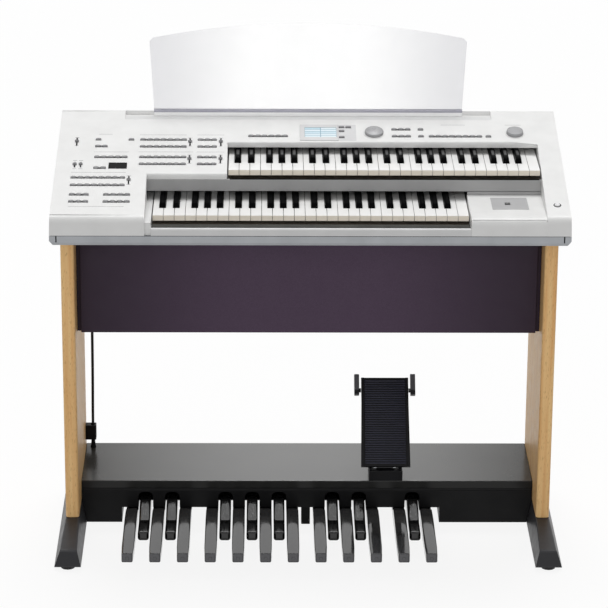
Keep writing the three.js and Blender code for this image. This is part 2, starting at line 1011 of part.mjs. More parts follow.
function voiceButtonStrips() {
  const strips = voiceButtonRuns.map((run) => [...spanOf(run), run[0][1], run[0][1]]);
  const [top, , , bottom] = voiceRows;
  const spine = voiceColumn + buttonPitch * 3;
  const secondSpine = voiceSecondColumn + buttonPitch;
  return [
    ...strips,
    [spine, spine, bottom, top],
    [secondSpine, secondSpine, bottom, top],
    [spine, secondSpine, voiceBridgeRow, voiceBridgeRow],
  ];
}

const functionButtonRuns = [
  rowOfButtons(memoryColumn, functionRow, memoryButtonCount),
  rowOfButtons(menuColumn, menuRows[0], 2),
  rowOfButtons(menuColumn, menuRows[1], 1),
  rowOfButtons(menuColumn, menuRows[2], 1),
  rowOfButtons(registerColumn, functionTopRow, 3),
  rowOfButtons(registerColumn, functionRow, 3),
  rowOfButtons(registerLoneColumn, functionTopRow, 1),
  rowOfButtons(registerLoneColumn, functionRow, 1),
  rowOfButtons(styleColumn, functionRow, styleButtonCount),
  rowOfButtons(startColumn, functionRow, 1),
];

function functionButtonStrips() {
  const registerSpine = registerColumn + buttonPitch;
  return [
    [memoryColumn, startColumn, functionRow, functionRow],
    [menuColumn, menuColumn, functionRow, menuRows[0]],
    [menuColumn, menuColumn + buttonPitch, menuRows[0], menuRows[0]],
    [registerSpine, registerSpine, functionRow, functionTopRow],
    [registerColumn, registerLoneColumn, functionTopRow, functionTopRow],
  ];
}

// Sliders: caps on stems that pass through slots in the panel to one carrier.

const leftSliders = [
  [leftColumn, masterSliderRow, sliderTravel],
  [leftColumn, shortSliderRow, shortSliderTravel],
  [leftColumn + shortSliderSpacing, shortSliderRow, shortSliderTravel],
  [leftEdgeColumn, tempoSliderRow, sliderTravel],
];

const voiceSliders = voiceSliderRows.flatMap((row) => [
  [voiceSliderColumn, row, sliderTravel],
  [voiceSecondSliderColumn, row, sliderTravel],
]);

function sliderSlot([column, row, travel]) {
  return panelBlock(
    column,
    row,
    sliderSlotWidth,
    travel * 2 + sliderCapLength,
    underPanel(cutOverrun),
    cutOverrun,
  );
}

function sliderCap([column, row]) {
  const cap = panelBlock(
    column,
    row,
    sliderCapWidth,
    sliderCapLength,
    seatGap,
    seatGap + sliderCapHeight,
  );
  const stem = panelBlock(
    column,
    row,
    sliderStem,
    sliderStem,
    -sliderCarrierDrop - carrierThickness / 2,
    seatGap + sliderCapHeight / 2,
  );
  return join(cap, stem);
}

function sliderCarrier(column0, column1, row0, row1) {
  return panelBlock(
    (column0 + column1) / 2,
    (row0 + row1) / 2,
    column1 - column0 + sliderStem,
    row1 - row0 + sliderStem,
    -sliderCarrierDrop - carrierThickness,
    -sliderCarrierDrop,
  );
}

function sliderBank(sliders, carriers) {
  return onPanel(join(...carriers.map((c) => sliderCarrier(...c)), ...sliders.map(sliderCap)));
}

function leftSliderCarriers() {
  return [
    [leftColumn, leftColumn, shortSliderRow, masterSliderRow],
    [leftColumn, leftEdgeColumn, shortSliderRow, shortSliderRow],
    [leftEdgeColumn, leftEdgeColumn, tempoSliderRow, shortSliderRow],
  ];
}

function voiceSliderCarriers() {
  const [top, bottom] = voiceSliderRows;
  const middle = (top + bottom) / 2;
  return [
    [voiceSliderColumn, voiceSliderColumn, bottom, top],
    [voiceSecondSliderColumn, voiceSecondSliderColumn, bottom, top],
    [voiceSliderColumn, voiceSecondSliderColumn, middle, middle],
  ];
}

// Screen, displays, dials and power button

function screenWindow(gap) {
  return panelBlock(
    screenLeft + screenWidth / 2,
    screenRow,
    screenWidth + gap * 2,
    screenHeight + gap * 2,
    -caseWall - (gap ? cutOverrun : 0),
    gap ? cutOverrun : screenProud,
  );
}

function displayWindow(gap) {
  return panelBlock(
    displayLeft + displayWidth / 2,
    displayRow,
    displayWidth + gap * 2,
    displayHeight + gap * 2,
    -caseWall - (gap ? cutOverrun : 0),
    gap ? cutOverrun : screenProud / 2,
  );
}

function panelBore(column, row, radius) {
  return uprightBar(radius, column, row, -cutOverrun, cutOverrun, spindleSides);
}

function dial(column, row, radius, height) {
  const cap = uprightBar(radius, column, row, seatGap, height, roundSides);
  const foot = -spindleLength;
  const spindle = uprightBar(spindleRadius, column, row, foot, height / 2, spindleSides);
  return onPanel(join(cap, spindle));
}

function powerButton() {
  const at = [powerColumn, powerRow];
  const cap = uprightBar(powerRadius, ...at, -caseWall - powerFlange, powerProud, roundSides);
  const flangeTop = underPanel(seatGap);
  const flangeRadius = powerRadius + powerFlange;
  const flange = uprightBar(flangeRadius, ...at, flangeTop - powerFlange, flangeTop, roundSides);
  return onPanel(join(cap, flange));
}

function panelOpenings() {
  const runs = [...leftButtonRuns, ...voiceButtonRuns, ...functionButtonRuns];
  return [
    ...runs.map(buttonSlot),
    ...leftSliders.map(sliderSlot),
    ...voiceSliders.map(sliderSlot),
    screenWindow(seatGap),
    displayWindow(seatGap),
    panelBore(dialColumn, dialRow, spindleRadius + controlGap),
    panelBore(knobColumn, dialRow, spindleRadius + controlGap),
    panelBore(powerColumn, powerRow, powerRadius + controlGap),
  ];
}

// Circuit board with the mains inlet that shows in the rear wall

function inletSeatZ() {
  return trayFloorZ + boardStandoff + boardThickness;
}

function mainBoard() {
  const rear = caseRearY - trayWall - boardInset;
  const front = rear - boardDepth;
  const left = boardCentre - boardWidth / 2;
  const right = boardCentre + boardWidth / 2;
  const underside = trayFloorZ + boardStandoff;
  const plate = block(left, right, front, rear, underside, underside + boardThickness);
  const posts = [left + boardInset, right - boardInset].flatMap((x) =>
    [front + boardInset, rear - boardInset].map((y) =>
      uprightBar(boardInset / 2, x, y, trayFloorZ, underside + boardThickness / 2, leadSides),
    ),
  );
  return join(plate, ...posts, inletSocket(rear));
}

function inletSocket(boardRear) {
  const half = inletWidth / 2;
  const foot = inletSeatZ();
  const body = block(
    boardCentre - half,
    boardCentre + half,
    boardRear - inletFloor,
    caseRearY,
    foot - boardThickness / 2,
    foot + inletHeight,
  );
  const pocket = block(
    boardCentre - half + inletWall,
    boardCentre + half - inletWall,
    caseRearY - inletDepth / 2,
    caseRearY + cutOverrun,
    foot + inletWall,
    foot + inletHeight - inletWall,
  );
  return cut(body, pocket);
}

// Music rest, standing in a rail at the back of the recess

function restRail() {
  const foot = keyTopHeight + recessRise;
  const top = keyTopHeight + railRise;
  const rail = block(-railHalfWidth, railHalfWidth, recessBack - railDepth, recessBack, foot, top);
  const gap = seatGap;
  const deep = restThickness + gap * 2;
  const slot = block(
    -restBottomHalfWidth - restEndGap,
    restBottomHalfWidth + restEndGap,
    -gap,
    deep - gap,
    -gap,
    cutOverrun * 2,
  );
  return cut(rail, leaned(slot));
}

// A solid drawn upright at the rest's foot, leaned back and set in the rail.
function leaned(solid) {
  const place = new THREE.Matrix4().makeRotationX(-restLean);
  place.setPosition(0, restY, keyTopHeight + railRise - restSeat);
  const geometry = geometryFrom(solid);
  geometry.applyMatrix4(place);
  return solidFrom(geometry);
}

function restOutline() {
  const crown = new THREE.QuadraticBezierCurve(
    new THREE.Vector2(restTopHalfWidth - restCornerRadius, restCornerHeight),
    new THREE.Vector2(0, restHeight * 2 - restCornerHeight),
    new THREE.Vector2(-restTopHalfWidth + restCornerRadius, restCornerHeight),
  );
  const shoulder = restCornerHeight - restCornerRadius;
  return [
    [-restBottomHalfWidth, 0],
    [restBottomHalfWidth, 0],
    [restTopHalfWidth, shoulder],
    ...crown.getPoints(roundSides / 2).map((p) => [p.x, p.y]),
    [-restTopHalfWidth, shoulder],
  ];
}

function musicRest() {
  return leaned(prismBack(restOutline(), 0, restThickness));
}

// Legs, feet and knee panel

function leg(side) {
  const outer = side * legOuter;
  const inner = side * legInner;
  const plan = [
    [Math.min(outer, inner), legFront, legEdgeRadius],
    [Math.max(outer, inner), legFront, legEdgeRadius],
    [Math.max(outer, inner), legRear],
    [Math.min(outer, inner), legRear],
  ];
  return prismUp(roundedOutline(plan), legBottom, trayBottomZ);
}

function foot(side) {
  const outerEdge = side * (legOuter + footOuterFlare);
  const innerEdge = side * (legInner - footInnerFlare);
  const centre = (outerEdge + innerEdge) / 2;
  const section = [
    [innerEdge, footSole],
    [outerEdge, footSole],
    [side * legOuter, legBottom],
    [side * legInner, legBottom],
  ];
  if (side < 0) section.reverse();
  const tailY = legRear + footTail;
  const sideView = [
    [-footNose + footNoseChamfer / 2, footSole],
    [tailY, footSole],
    [tailY, footNoseHeight],
    [legRear, legBottom],
    [legFront, legBottom],
    [-footNose + footNoseChamfer, footNoseHeight],
    [-footNose, footNoseHeight - footNoseChamfer],
    [-footNose, footSole + footNoseChamfer],
  ];
  const body = prismBack(section, -footNose - cutOverrun, tailY + cutOverrun).intersect(
    prismAcross(sideView, centre - legThickness * 2, centre + legThickness * 2),
  );
  const glides = [-footNose + glideInset, tailY - glideInset].map((y) =>
    uprightBar(glideRadius, centre, y, 0, footSole + footSole / 2, roundSides / 2),
  );
  return join(body, ...glides);
}

function kneePanel() {
  const front = legFront + kneeSetback;
  const half = legInner - kneeSideGap;
  const board = block(-half, half, front, front + kneeThickness, kneeBottom, trayBottomZ);
  const tongueFront = front + (kneeThickness - kneeTongue);
  const tongues = block(
    -legInner,
    legInner,
    tongueFront,
    front + kneeThickness,
    kneeBottom,
    trayBottomZ,
  );
  return join(board, tongues);
}

// Pedal base

function pedalBaseBoard() {
  return block(-legInner, legInner, baseFrontY, legRear, baseBoardZ, baseTop);
}

function naturalColumns() {
  const first = pedalboardCentre - (pedalPitch * (naturalCount - 1)) / 2;
  return Array.from({ length: naturalCount }, (_, n) => first + n * pedalPitch);
}

function sharpColumns() {
  return naturalColumns()
    .map((column, n) => ({ column: column + pedalPitch / 2, n }))
    .filter(({ n }) => n < naturalCount - 1 && sharpsAfterNaturals.includes(n % naturalsPerOctave))
    .map(({ column }) => column);
}

// Front outline of the housing, cut away at both ends to clear the flared feet.
function housingSection() {
  const end = legInner - seatGap;
  const foot = end - footInnerFlare;
  const shoulder = legBottom + seatGap;
  return [
    [-foot, housingBottom],
    [foot, housingBottom],
    [end, shoulder],
    [end, baseBoardZ],
    [-end, baseBoardZ],
    [-end, shoulder],
  ];
}

function pedalBaseHousing() {
  const board = prismBack(housingSection(), baseFrontY, legRear);
  const inner = [
    [-legInner + housingWall * 2, pedalWellLeft - housingWall],
    [pedalWellLeft, pedalWellRight],
    [pedalWellRight + housingWall, legInner - housingWall * 2],
  ].map(([x0, x1]) =>
    block(
      x0,
      x1,
      baseFrontY + housingWall,
      legRear - housingWall,
      housingBottom - cutOverrun,
      baseBoardZ + cutOverrun,
    ),
  );
  const mouth = block(
    pedalWellLeft,
    pedalWellRight,
    baseFrontY - cutOverrun,
    baseFrontY + housingWall + cutOverrun,
    housingBottom - cutOverrun,
    fasciaBottom,
  );
  const lip = block(
    -legInner,
    legInner,
    baseFrontY - cutOverrun,
    baseFrontY + fasciaLipSetback,
    baseBoardZ - fasciaLip,
    baseBoardZ,
  );
  const notches = sharpColumns().map((column) =>
    prismBack(
      roundedOutline([
        [column - sharpNotchWidth / 2, housingBottom],
        [column + sharpNotchWidth / 2, housingBottom],
        [column + sharpNotchWidth / 2, sharpNotchTop, sharpNotchRadius],
        [column - sharpNotchWidth / 2, sharpNotchTop, sharpNotchRadius],
      ]),
      baseFrontY - cutOverrun,
      baseFrontY + housingWall + cutOverrun,
    ),
  );
  const rodBore = crossBar(
    pivotRodRadius + seatGap,
    pedalWellLeft - housingWall / 2,
    pedalWellRight + housingWall / 2,
    pedalPivotY,
    pedalPivotZ,
    pivotRodSides,
  );
  return cut(board, ...inner, mouth, lip, ...notches, rodBore);
}

function pedalBaseSupport() {
  const half = supportWidth / 2;
  return block(
    supportColumn - half,
    supportColumn + half,
    baseFrontY,
    baseFrontY + supportDepth,
    0,
    fasciaBottom,
  );
}

function pivotRod() {
  return crossBar(
    pivotRodRadius,
    pedalWellLeft - housingWall / 2 + seatGap,
    pedalWellRight + housingWall / 2 - seatGap,
    pedalPivotY,
    pedalPivotZ,
    pivotRodSides,
  );
}

// Pedals: levers on one rod across the back of the housing

function pedalBore(column, width) {
  return crossBar(
    pivotRodRadius + pivotRodGap,
    column - width,
    column + width,
    pedalPivotY,
    pedalPivotZ,
    pivotRodSides,
  );
}

function lever(outline, column, width) {
  const body = prismAcross(outline, column - width / 2, column + width / 2);
  return cut(body, pedalBore(column, width));
}

function naturalPedal(column) {
  const underFascia = fasciaBottom - pedalFasciaGap;
  const outline = [
    [-naturalFront - naturalFrontLean, naturalFrontHeight - pedalFrontFace],
    [baseFrontY, underFascia - pedalFrontFace],
    [pedalTailY, pedalTailHeight - pedalTailThickness],
    [pedalTailY, pedalTailHeight],
    [baseFrontY, underFascia],
    [naturalDropY, naturalDropHeight],
    [naturalCrestY, naturalCrestHeight],
    [-naturalFront, naturalFrontHeight],
  ];
  const nose = -naturalFront - naturalFrontLean;
  const halfAt = (y) => naturalWidth / 2 - naturalTaper + (naturalTaper * (y - nose)) / naturalTaperLength;
  const [front, back] = [nose - cutOverrun, nose + naturalTaperLength + cutOverrun];
  const plan = [
    [column - halfAt(front), front],
    [column + halfAt(front), front],
    [column + halfAt(back), back],
    [column + halfAt(back), legRear],
    [column - halfAt(back), legRear],
    [column - halfAt(back), back],
  ];
  return lever(outline, column, naturalWidth).intersect(prismUp(plan, 0, baseTop));
}

function sharpPedal(column) {
  const outline = [
    [-sharpFront - naturalFrontLean, sharpFrontHeight - pedalFrontFace],
    [baseFrontY, fasciaBottom - pedalFrontFace],
    [pedalTailY, pedalTailHeight - pedalTailThickness],
    [pedalTailY, pedalTailHeight],
    [sharpFootY, fasciaBottom - pedalFasciaGap],
    [sharpDropY, sharpRearHeight],
    [baseFrontY, sharpRearHeight],
    [sharpCrestY, sharpCrestHeight],
    [-sharpFront, sharpFrontHeight],
  ];
  return lever(outline, column, sharpWidth);
}

const noteNames = ["c", "d", "e", "f", "g", "a", "b"];

function pedalName(natural, sharp) {
  const octave = 1 + Math.floor(natural / naturalsPerOctave);
  const note = noteNames[natural % naturalsPerOctave];
  return "pedal_" + note + (sharp ? "_sharp_" : "_") + octave;
}

function addPedals() {
  naturalColumns().forEach((column, natural) => {
    add(pedalName(natural, false), naturalPedal(column), finish.pedalGrey);
    const hasSharp = sharpsAfterNaturals.includes(natural % naturalsPerOctave);
    if (!hasSharp || natural === naturalCount - 1) return;
    const sharp = sharpPedal(column + pedalPitch / 2);
    add(pedalName(natural, true), sharp, finish.keyBlack);
  });
}

// Expression pedal: a ribbed tread on a bracket, with a foot switch on each side

// A solid drawn flat with y along the tread from the heel and z out of its face.
function onTread(solid) {
  const place = new THREE.Matrix4().makeRotationX(treadAngle);
  place.setPosition(treadCentre, treadHeelY, treadHeelHeight);
  const geometry = geometryFrom(solid);
  geometry.applyMatrix4(place);
  return solidFrom(geometry);
}

function treadPin() {
  const y = bossInset + bossLength / 2;
  const z = -treadThickness - bossDepth / 2;
  const along = Math.cos(treadAngle);
  const up = Math.sin(treadAngle);
  return [treadHeelY + y * along - z * up, treadHeelHeight + y * up + z * along];
}

// The foot plate in plan, a little wider at the heel than at the toe.
function treadPlan(heel, toe) {
  return [
    [-heel, 0],
    [heel, 0],
    [toe, treadFlareLength],
    [toe, treadLength],
    [-toe, treadLength],
    [-toe, treadFlareLength],
  ];
}

function expressionTread() {
  const half = treadWidth / 2;
  const heel = half + treadHeelFlare;
  const plate = prismUp(treadPlan(heel, half), -treadThickness, 0);
  const middle = treadPlan(heel - treadBorder, half - treadBorder);
  const borders = cut(
    prismUp(treadPlan(heel, half), -treadThickness / 2, treadBorderHeight),
    prismUp(middle, -treadThickness, treadBorderHeight + cutOverrun),
  );
  const boss = block(
    -bossWidth / 2,
    bossWidth / 2,
    bossInset,
    bossInset + bossLength,
    -treadThickness - bossDepth,
    -treadThickness / 2,
  );
  const [pinY, pinZ] = treadPin();
  const bore = crossBar(
    bracketPinRadius + pivotRodGap,
    treadCentre - bossWidth,
    treadCentre + bossWidth,
    pinY,
    pinZ,
    pivotRodSides,
  );
  return cut(onTread(join(plate, borders, boss)), bore);
}

function expressionBracket() {
  const half = bracketWidth / 2;
  const [pinY, pinZ] = treadPin();
  const plate = block(
    treadCentre - half,
    treadCentre + half,
    baseFrontY,
    baseFrontY + bracketLength,
    baseTop,
    baseTop + bracketPlate,
  );
  const shroud = block(
    treadCentre - half,
    treadCentre + half,
    baseFrontY,
    baseFrontY + bracketShroudDepth,
    baseTop,
    bracketShroudTop,
  );
  const earFront = pinY - bracketEarLead;
  const earTop = pinZ + bracketPinRadius * 1.5;
  const ears = [treadCentre - half, treadCentre + half - bracketEar].map((x) =>
    block(x, x + bracketEar, earFront, earFront + bracketEarLength, baseTop, earTop),
  );
  const pin = crossBar(
    bracketPinRadius,
    treadCentre - half,
    treadCentre + half,
    pinY,
    pinZ,
    pivotRodSides,
  );
  return join(plate, shroud, ...ears, pin);
}

function footSwitch(side) {
  const inner = treadWidth / 2 + switchGap;
  const outer = inner + switchWidth;
  const span = [side * inner, side * outer].sort((a, b) => a - b);
  const low = -treadThickness / 2 - switchThickness / 2;
  const post = block(
    ...span,
    switchStart,
    switchStart + switchLength,
    low,
    low + switchThickness,
  );
  const reach = [side * (treadWidth / 2 + switchArmGap), side * outer].sort((a, b) => a - b);
  const arm = crossBar(
    switchArmRadius,
    ...reach,
    switchStart + switchArmInset,
    -treadThickness / 2,
    pivotRodSides,
  );
  return onTread(join(post, arm));
}

// Pedal lead and its clip

function leadPath() {
  const top = trayBottomZ - leadEndGap;
  const foot = baseTop + leadEndGap;
  const middle = (top + foot) / 2;
  return new THREE.CatmullRomCurve3([
    new THREE.Vector3(leadColumn, leadY, foot),
    new THREE.Vector3(leadColumn, leadY, clipBottom + clipHeight),
    new THREE.Vector3(leadColumn + leadBow, leadY, middle),
    new THREE.Vector3(leadColumn + leadBow, leadY, top - clipHeight),
    new THREE.Vector3(leadColumn + leadBow, leadY, top),
  ]);
}

function pedalLead() {
  const ring = Array.from({ length: leadSides }, (_, i) => {
    const turn = (i / leadSides) * Math.PI * 2;
    return new THREE.Vector2(leadRadius * Math.cos(turn), leadRadius * Math.sin(turn));
  });
  const geometry = new THREE.ExtrudeGeometry(new THREE.Shape(ring), {
    extrudePath: leadPath(),
    steps: leadSteps,
    bevelEnabled: false,
  });
  return solidFrom(geometry);
}

function leadClip() {
  const half = clipDepth / 2;
  const body = block(
    -legInner,
    leadColumn + clipOuter,
    leadY - half,
    leadY + half,
    clipBottom,
    clipBottom + clipHeight,
  );
  const bore = leadRadius + leadBow / 2 + seatGap;
  return cut(
    body,
    block(
      leadColumn - bore,
      leadColumn + bore,
      leadY - bore,
      leadY + bore,
      clipBottom - cutOverrun,
      clipBottom + clipHeight + cutOverrun,
    ),
  );
}

// Assembly

add("keybed_tray", keybedTray(), finish.silverTrim);
add("top_case", topCase(), finish.whiteShell);
add("right_deck", rightDeck(), finish.whiteShell);
add("media_panel", mediaPanel(), finish.greyShell);
add("key_slip", keySlip(), finish.palePlastic);
add("upper_key_rail", upperKeyRail(), finish.greyShell);
const lowerKeysTop = keyTopHeight + lowerKeysLift;
addManual("lower", lowerKeysLeft, 0, lowerKeysTop, lowerKeysTop - trayFloorZ, 0);
addManual(
  "upper",
  upperKeysLeft,
  manualStepBack,
  keyTopHeight + manualStepUp,
  upperFrameDrop,
  keyTopHeight + manualStepUp - trayFloorZ,
);
add("main_board", mainBoard(), finish.boardGreen);

add("left_panel_buttons", buttonBank(leftButtonRuns.flat(), leftButtonStrips()), finish.palePlastic);
add("voice_buttons", buttonBank(voiceButtonRuns.flat(), voiceButtonStrips()), finish.palePlastic);
add(
  "function_buttons",
  buttonBank(functionButtonRuns.flat(), functionButtonStrips()),
  finish.palePlastic,
);
add("left_panel_sliders", sliderBank(leftSliders, leftSliderCarriers()), finish.greyShell);
add("voice_level_sliders", sliderBank(voiceSliders, voiceSliderCarriers()), finish.greyShell);
add("lcd_screen", onPanel(screenWindow(0)), finish.screenBlue);
add("level_display", onPanel(displayWindow(0)), finish.displayBlack);
add("data_dial", dial(dialColumn, dialRow, dialRadius, dialHeight), finish.palePlastic);
add("volume_knob", dial(knobColumn, dialRow, knobRadius, knobHeight), finish.palePlastic);
add("power_button", powerButton(), finish.greyShell);

add("music_rest_rail", restRail(), finish.greyShell);
add("music_rest", musicRest(), finish.frosted);

add("leg_left", leg(-1), finish.beech);
add("leg_right", leg(1), finish.beech);
add("foot_left", foot(-1), finish.footGrey);
add("foot_right", foot(1), finish.footGrey);
add("knee_panel", kneePanel(), finish.plum);

add("pedal_base_board", pedalBaseBoard(), finish.blackBoard);
add("pedal_base_housing", pedalBaseHousing(), finish.blackBoard);
add("pedal_base_support", pedalBaseSupport(), finish.rubberBlack);
add("pedal_pivot_rod", pivotRod(), finish.steel);
addPedals();

add("expression_bracket", expressionBracket(), finish.blackBoard);
add("expression_tread", expressionTread(), finish.rubberBlack);
add("foot_switch_left", footSwitch(-1), finish.blackBoard);
add("foot_switch_right", footSwitch(1), finish.blackBoard);

add("pedal_lead", pedalLead(), finish.rubberBlack);
add("lead_clip", leadClip(), finish.rubberBlack);

// The footprint runs from the toes of the natural pedals to the top edge of the leaning rest.
const frontmost = -naturalFront - naturalFrontLean;
const rearmost = restY + restHeight * Math.sin(restLean) + restThickness * Math.cos(restLean);
instrument.position.y = -(frontmost + rearmost) / 2;

export default instrument;
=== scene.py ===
import math

import bmesh
import bpy
from mathutils import Matrix, Vector


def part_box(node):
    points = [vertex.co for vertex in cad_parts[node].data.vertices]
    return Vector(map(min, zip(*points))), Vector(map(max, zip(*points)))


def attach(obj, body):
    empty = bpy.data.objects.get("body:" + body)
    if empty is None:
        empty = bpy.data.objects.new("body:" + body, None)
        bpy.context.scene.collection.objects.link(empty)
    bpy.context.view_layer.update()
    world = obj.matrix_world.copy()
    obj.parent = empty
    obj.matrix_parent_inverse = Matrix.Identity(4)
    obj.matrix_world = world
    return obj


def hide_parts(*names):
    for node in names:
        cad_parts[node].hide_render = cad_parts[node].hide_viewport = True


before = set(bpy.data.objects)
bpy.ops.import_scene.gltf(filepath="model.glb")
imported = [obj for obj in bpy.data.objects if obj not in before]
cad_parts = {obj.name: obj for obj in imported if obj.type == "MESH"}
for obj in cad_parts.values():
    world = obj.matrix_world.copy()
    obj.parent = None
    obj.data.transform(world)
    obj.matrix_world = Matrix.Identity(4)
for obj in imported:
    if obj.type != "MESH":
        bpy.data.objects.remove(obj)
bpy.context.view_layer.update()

# Camera. The organ was photographed from well above the keys and far back with a long lens,
# so its legs stand almost parallel. Sizes in this script are millimetres from the front edge
# of the lower white keys, the middle of the console and the floor.

camera_place = (-105.1, -6179.8, 2865.6)
pitch, yaw, roll = 70.5, -0.6, 0.3
focal_length = 179.54
shift_across, shift_up = 0.0211, -0.0615
scene = bpy.context.scene
keys_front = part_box("lower_white_keys")[0].y


def at(x, y, z):
    """A point of the organ, given in millimetres, in the frame's metres."""
    return Vector((x / 1000, keys_front + y / 1000, z / 1000))


def turned(degrees, axis):
    """A turn by an angle about an axis through the origin."""
    return Matrix.Rotation(math.radians(degrees), 4, axis)


def new_object(name, data):
    """An object that shows its data in the scene."""
    thing = bpy.data.objects.new(name, data)
    scene.collection.objects.link(thing)
    return thing


studio_lens = bpy.data.cameras.new("studio_lens")
studio_lens.sensor_width = 36
studio_lens.lens = focal_length
studio_lens.shift_x, studio_lens.shift_y = shift_across, shift_up
studio_lens.clip_end = 60
camera = new_object("studio_camera", studio_lens)
aim = turned(yaw, "Z") @ turned(pitch, "X") @ turned(roll, "Z")
camera.matrix_world = Matrix.Translation(at(*camera_place)) @ aim
scene.camera = camera

# Legs. Two upright side boards 30 mm thick, veneered in beech, with the front corners rounded.
# They stand on the feet and carry the console, and the knee panel and pedal base bolt between them.

leg_edge = 1.2
beech_light, beech_dark, beech_pore = "#FFD798", "#EEB777", "#B27F44"
grain_width, pore_width = 9, 1.6


def linear(code):
    """An sRGB hex colour as linear red, green, blue and alpha."""
    parts = [int(code[i : i + 2], 16) / 255 for i in (1, 3, 5)]
    return [p / 12.92 if p <= 0.04045 else ((p + 0.055) / 1.055) ** 2.4 for p in parts] + [1]


def add_node(tree, kind, settings=None, inputs=None):
    """Adds a node with its settings. An input is a plain value or the socket that feeds it."""
    node = tree.nodes.new(kind)
    for name, value in (settings or {}).items():
        setattr(node, name, value)
    for name, value in (inputs or {}).items():
        if isinstance(value, bpy.types.NodeSocket):
            tree.links.new(value, node.inputs[name])
        else:
            node.inputs[name].default_value = value
    return node


def new_finish(name, constants=None):
    """A new material, its tree, its Principled shader and the piece's object coordinates."""
    material = bpy.data.materials.new(name)
    material.use_nodes = True
    tree = material.node_tree
    tree.nodes.clear()
    shader = add_node(tree, "ShaderNodeBsdfPrincipled", {}, constants)
    add_node(tree, "ShaderNodeOutputMaterial", {}, {"Surface": shader.outputs[0]})
    place = add_node(tree, "ShaderNodeTexCoord")
    return material, tree, shader, place.outputs["Object"]


def blend(tree, share, low, high):
    """Mixes two colours, each a hex code or a socket, by a share from 0 to 1."""
    low, high = (linear(c) if isinstance(c, str) else c for c in (low, high))
    mix = add_node(tree, "ShaderNodeMix", {"data_type": "RGBA"}, {0: share, 6: low, 7: high})
    return mix.outputs[2]


def patches(tree, coords, size, low, high, detail=2.0, squash=(1, 1, 1)):
    """Soft patches of a size in millimetres, running between two numbers or two hex colours."""
    shaped = add_node(tree, "ShaderNodeMapping", {}, {"Vector": coords, "Scale": squash})
    drift = {"Vector": shaped.outputs[0], "Scale": 1000 / size, "Detail": detail}
    cloud = add_node(tree, "ShaderNodeTexNoise", {}, drift)
    ramp = add_node(tree, "ShaderNodeMapRange", {}, {0: cloud.outputs[0], 1: 0.3, 2: 0.7})
    if isinstance(low, str):
        return blend(tree, ramp.outputs[0], low, high)
    ramp.inputs[3].default_value, ramp.inputs[4].default_value = low, high
    return ramp.outputs[0]


def dress(tree, shader, colour, rough, height=None, depth=0):
    """Feeds a shader its colour and roughness, and a height from 0 to 1 as a relief of a depth."""
    tree.links.new(colour, shader.inputs["Base Color"])
    tree.links.new(rough, shader.inputs["Roughness"])
    if height is not None:
        form = {"Height": height, "Strength": 1.0, "Distance": depth / 1000}
        bump = add_node(tree, "ShaderNodeBump", {}, form)
        tree.links.new(bump.outputs[0], shader.inputs["Normal"])


def beech_veneer():
    """Beech veneer under satin lacquer: long pale and brown stripes and short dark flecks."""
    lacquer = {"Specular IOR Level": 0.3, "Coat Weight": 0.06, "Coat Roughness": 0.3}
    material, tree, shader, coords = new_finish("beech_veneer_satin_lacquer", lacquer)
    stripes = patches(tree, coords, grain_width, beech_light, beech_dark, 3.0, (1, 1, 0.035))
    flecks = patches(tree, coords, pore_width, 0.0, 1.0, 1.0, (1, 1, 0.12))
    fleck = add_node(tree, "ShaderNodeMapRange", {}, {0: flecks, 1: 0.75, 2: 1.0, 3: 0.0, 4: 0.5})
    colour = blend(tree, fleck.outputs[0], stripes, beech_pore)
    dress(tree, shader, colour, patches(tree, coords, 30, 0.36, 0.5), flecks, 0.05)
    return material


def solid_copy(node):
    """A copy of a CAD solid as a bmesh, its loose triangles merged into flat faces."""
    work = bmesh.new()
    work.from_mesh(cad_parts[node].data)
    bmesh.ops.remove_doubles(work, verts=work.verts, dist=2e-6)
    flat_enough = math.radians(0.5)
    bmesh.ops.dissolve_limit(work, angle_limit=flat_enough, verts=work.verts, edges=work.edges)
    return work


def in_mm(point):
    """A point of the frame back in the organ's millimetres."""
    return Vector((point.x * 1000, (point.y - keys_front) * 1000, point.z * 1000))


def bevel(work, edges, radius, steps):
    """Rounds edges to a radius in millimetres."""
    rounding = {"offset": radius / 1000, "segments": steps, "profile": 0.5, "affect": "EDGES"}
    bmesh.ops.bevel(work, geom=edges, clamp_overlap=True, **rounding)


def soften(work, radius, steps, sharper=40, where=None):
    """Rounds the edges sharper than an angle, all of them or those where(a, b) keeps."""
    edges = [
        e
        for e in work.edges
        if len(e.link_faces) == 2
        and e.calc_face_angle(0) > math.radians(sharper)
        and e.is_convex
        and (where is None or where(*(in_mm(v.co) for v in e.verts)))
    ]
    bevel(work, edges, radius, steps)


def to_piece(name, work, smooth=35):
    """Makes a bmesh an object at the origin, smooth apart from its sharp edges."""
    mesh = bpy.data.meshes.new(name)
    bmesh.ops.recalc_face_normals(work, faces=work.faces)
    work.to_mesh(mesh)
    work.free()
    mesh.shade_smooth()
    mesh.set_sharp_from_angle(angle=math.radians(smooth))
    return new_object(name, mesh)


def settled(piece):
    """Applies a piece's modifiers, so that only a plain mesh is left."""
    graph = bpy.context.evaluated_depsgraph_get()
    seen = piece.evaluated_get(graph)
    mesh = bpy.data.meshes.new_from_object(seen, preserve_all_data_layers=True, depsgraph=graph)
    piece.modifiers.clear()
    old = piece.data
    piece.data = mesh
    bpy.data.meshes.remove(old)
    return piece


def level_faces(piece):
    """Keeps large flat faces flat beside their rounded edges."""
    lean = piece.modifiers.new("level_faces", "WEIGHTED_NORMAL")
    lean.keep_sharp = True
    lean.weight = 100
    return settled(piece)


def fit(piece, slot, material, replaced=(), body="stand_and_console"):
    """Gives a piece its material, hides the solids it stands for and fixes it to the body it rides
    on. The slot is not used.
    """
    piece.data.materials.clear()
    piece.data.materials.append(material)
    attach(piece, body)
    if replaced:
        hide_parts(*replaced)


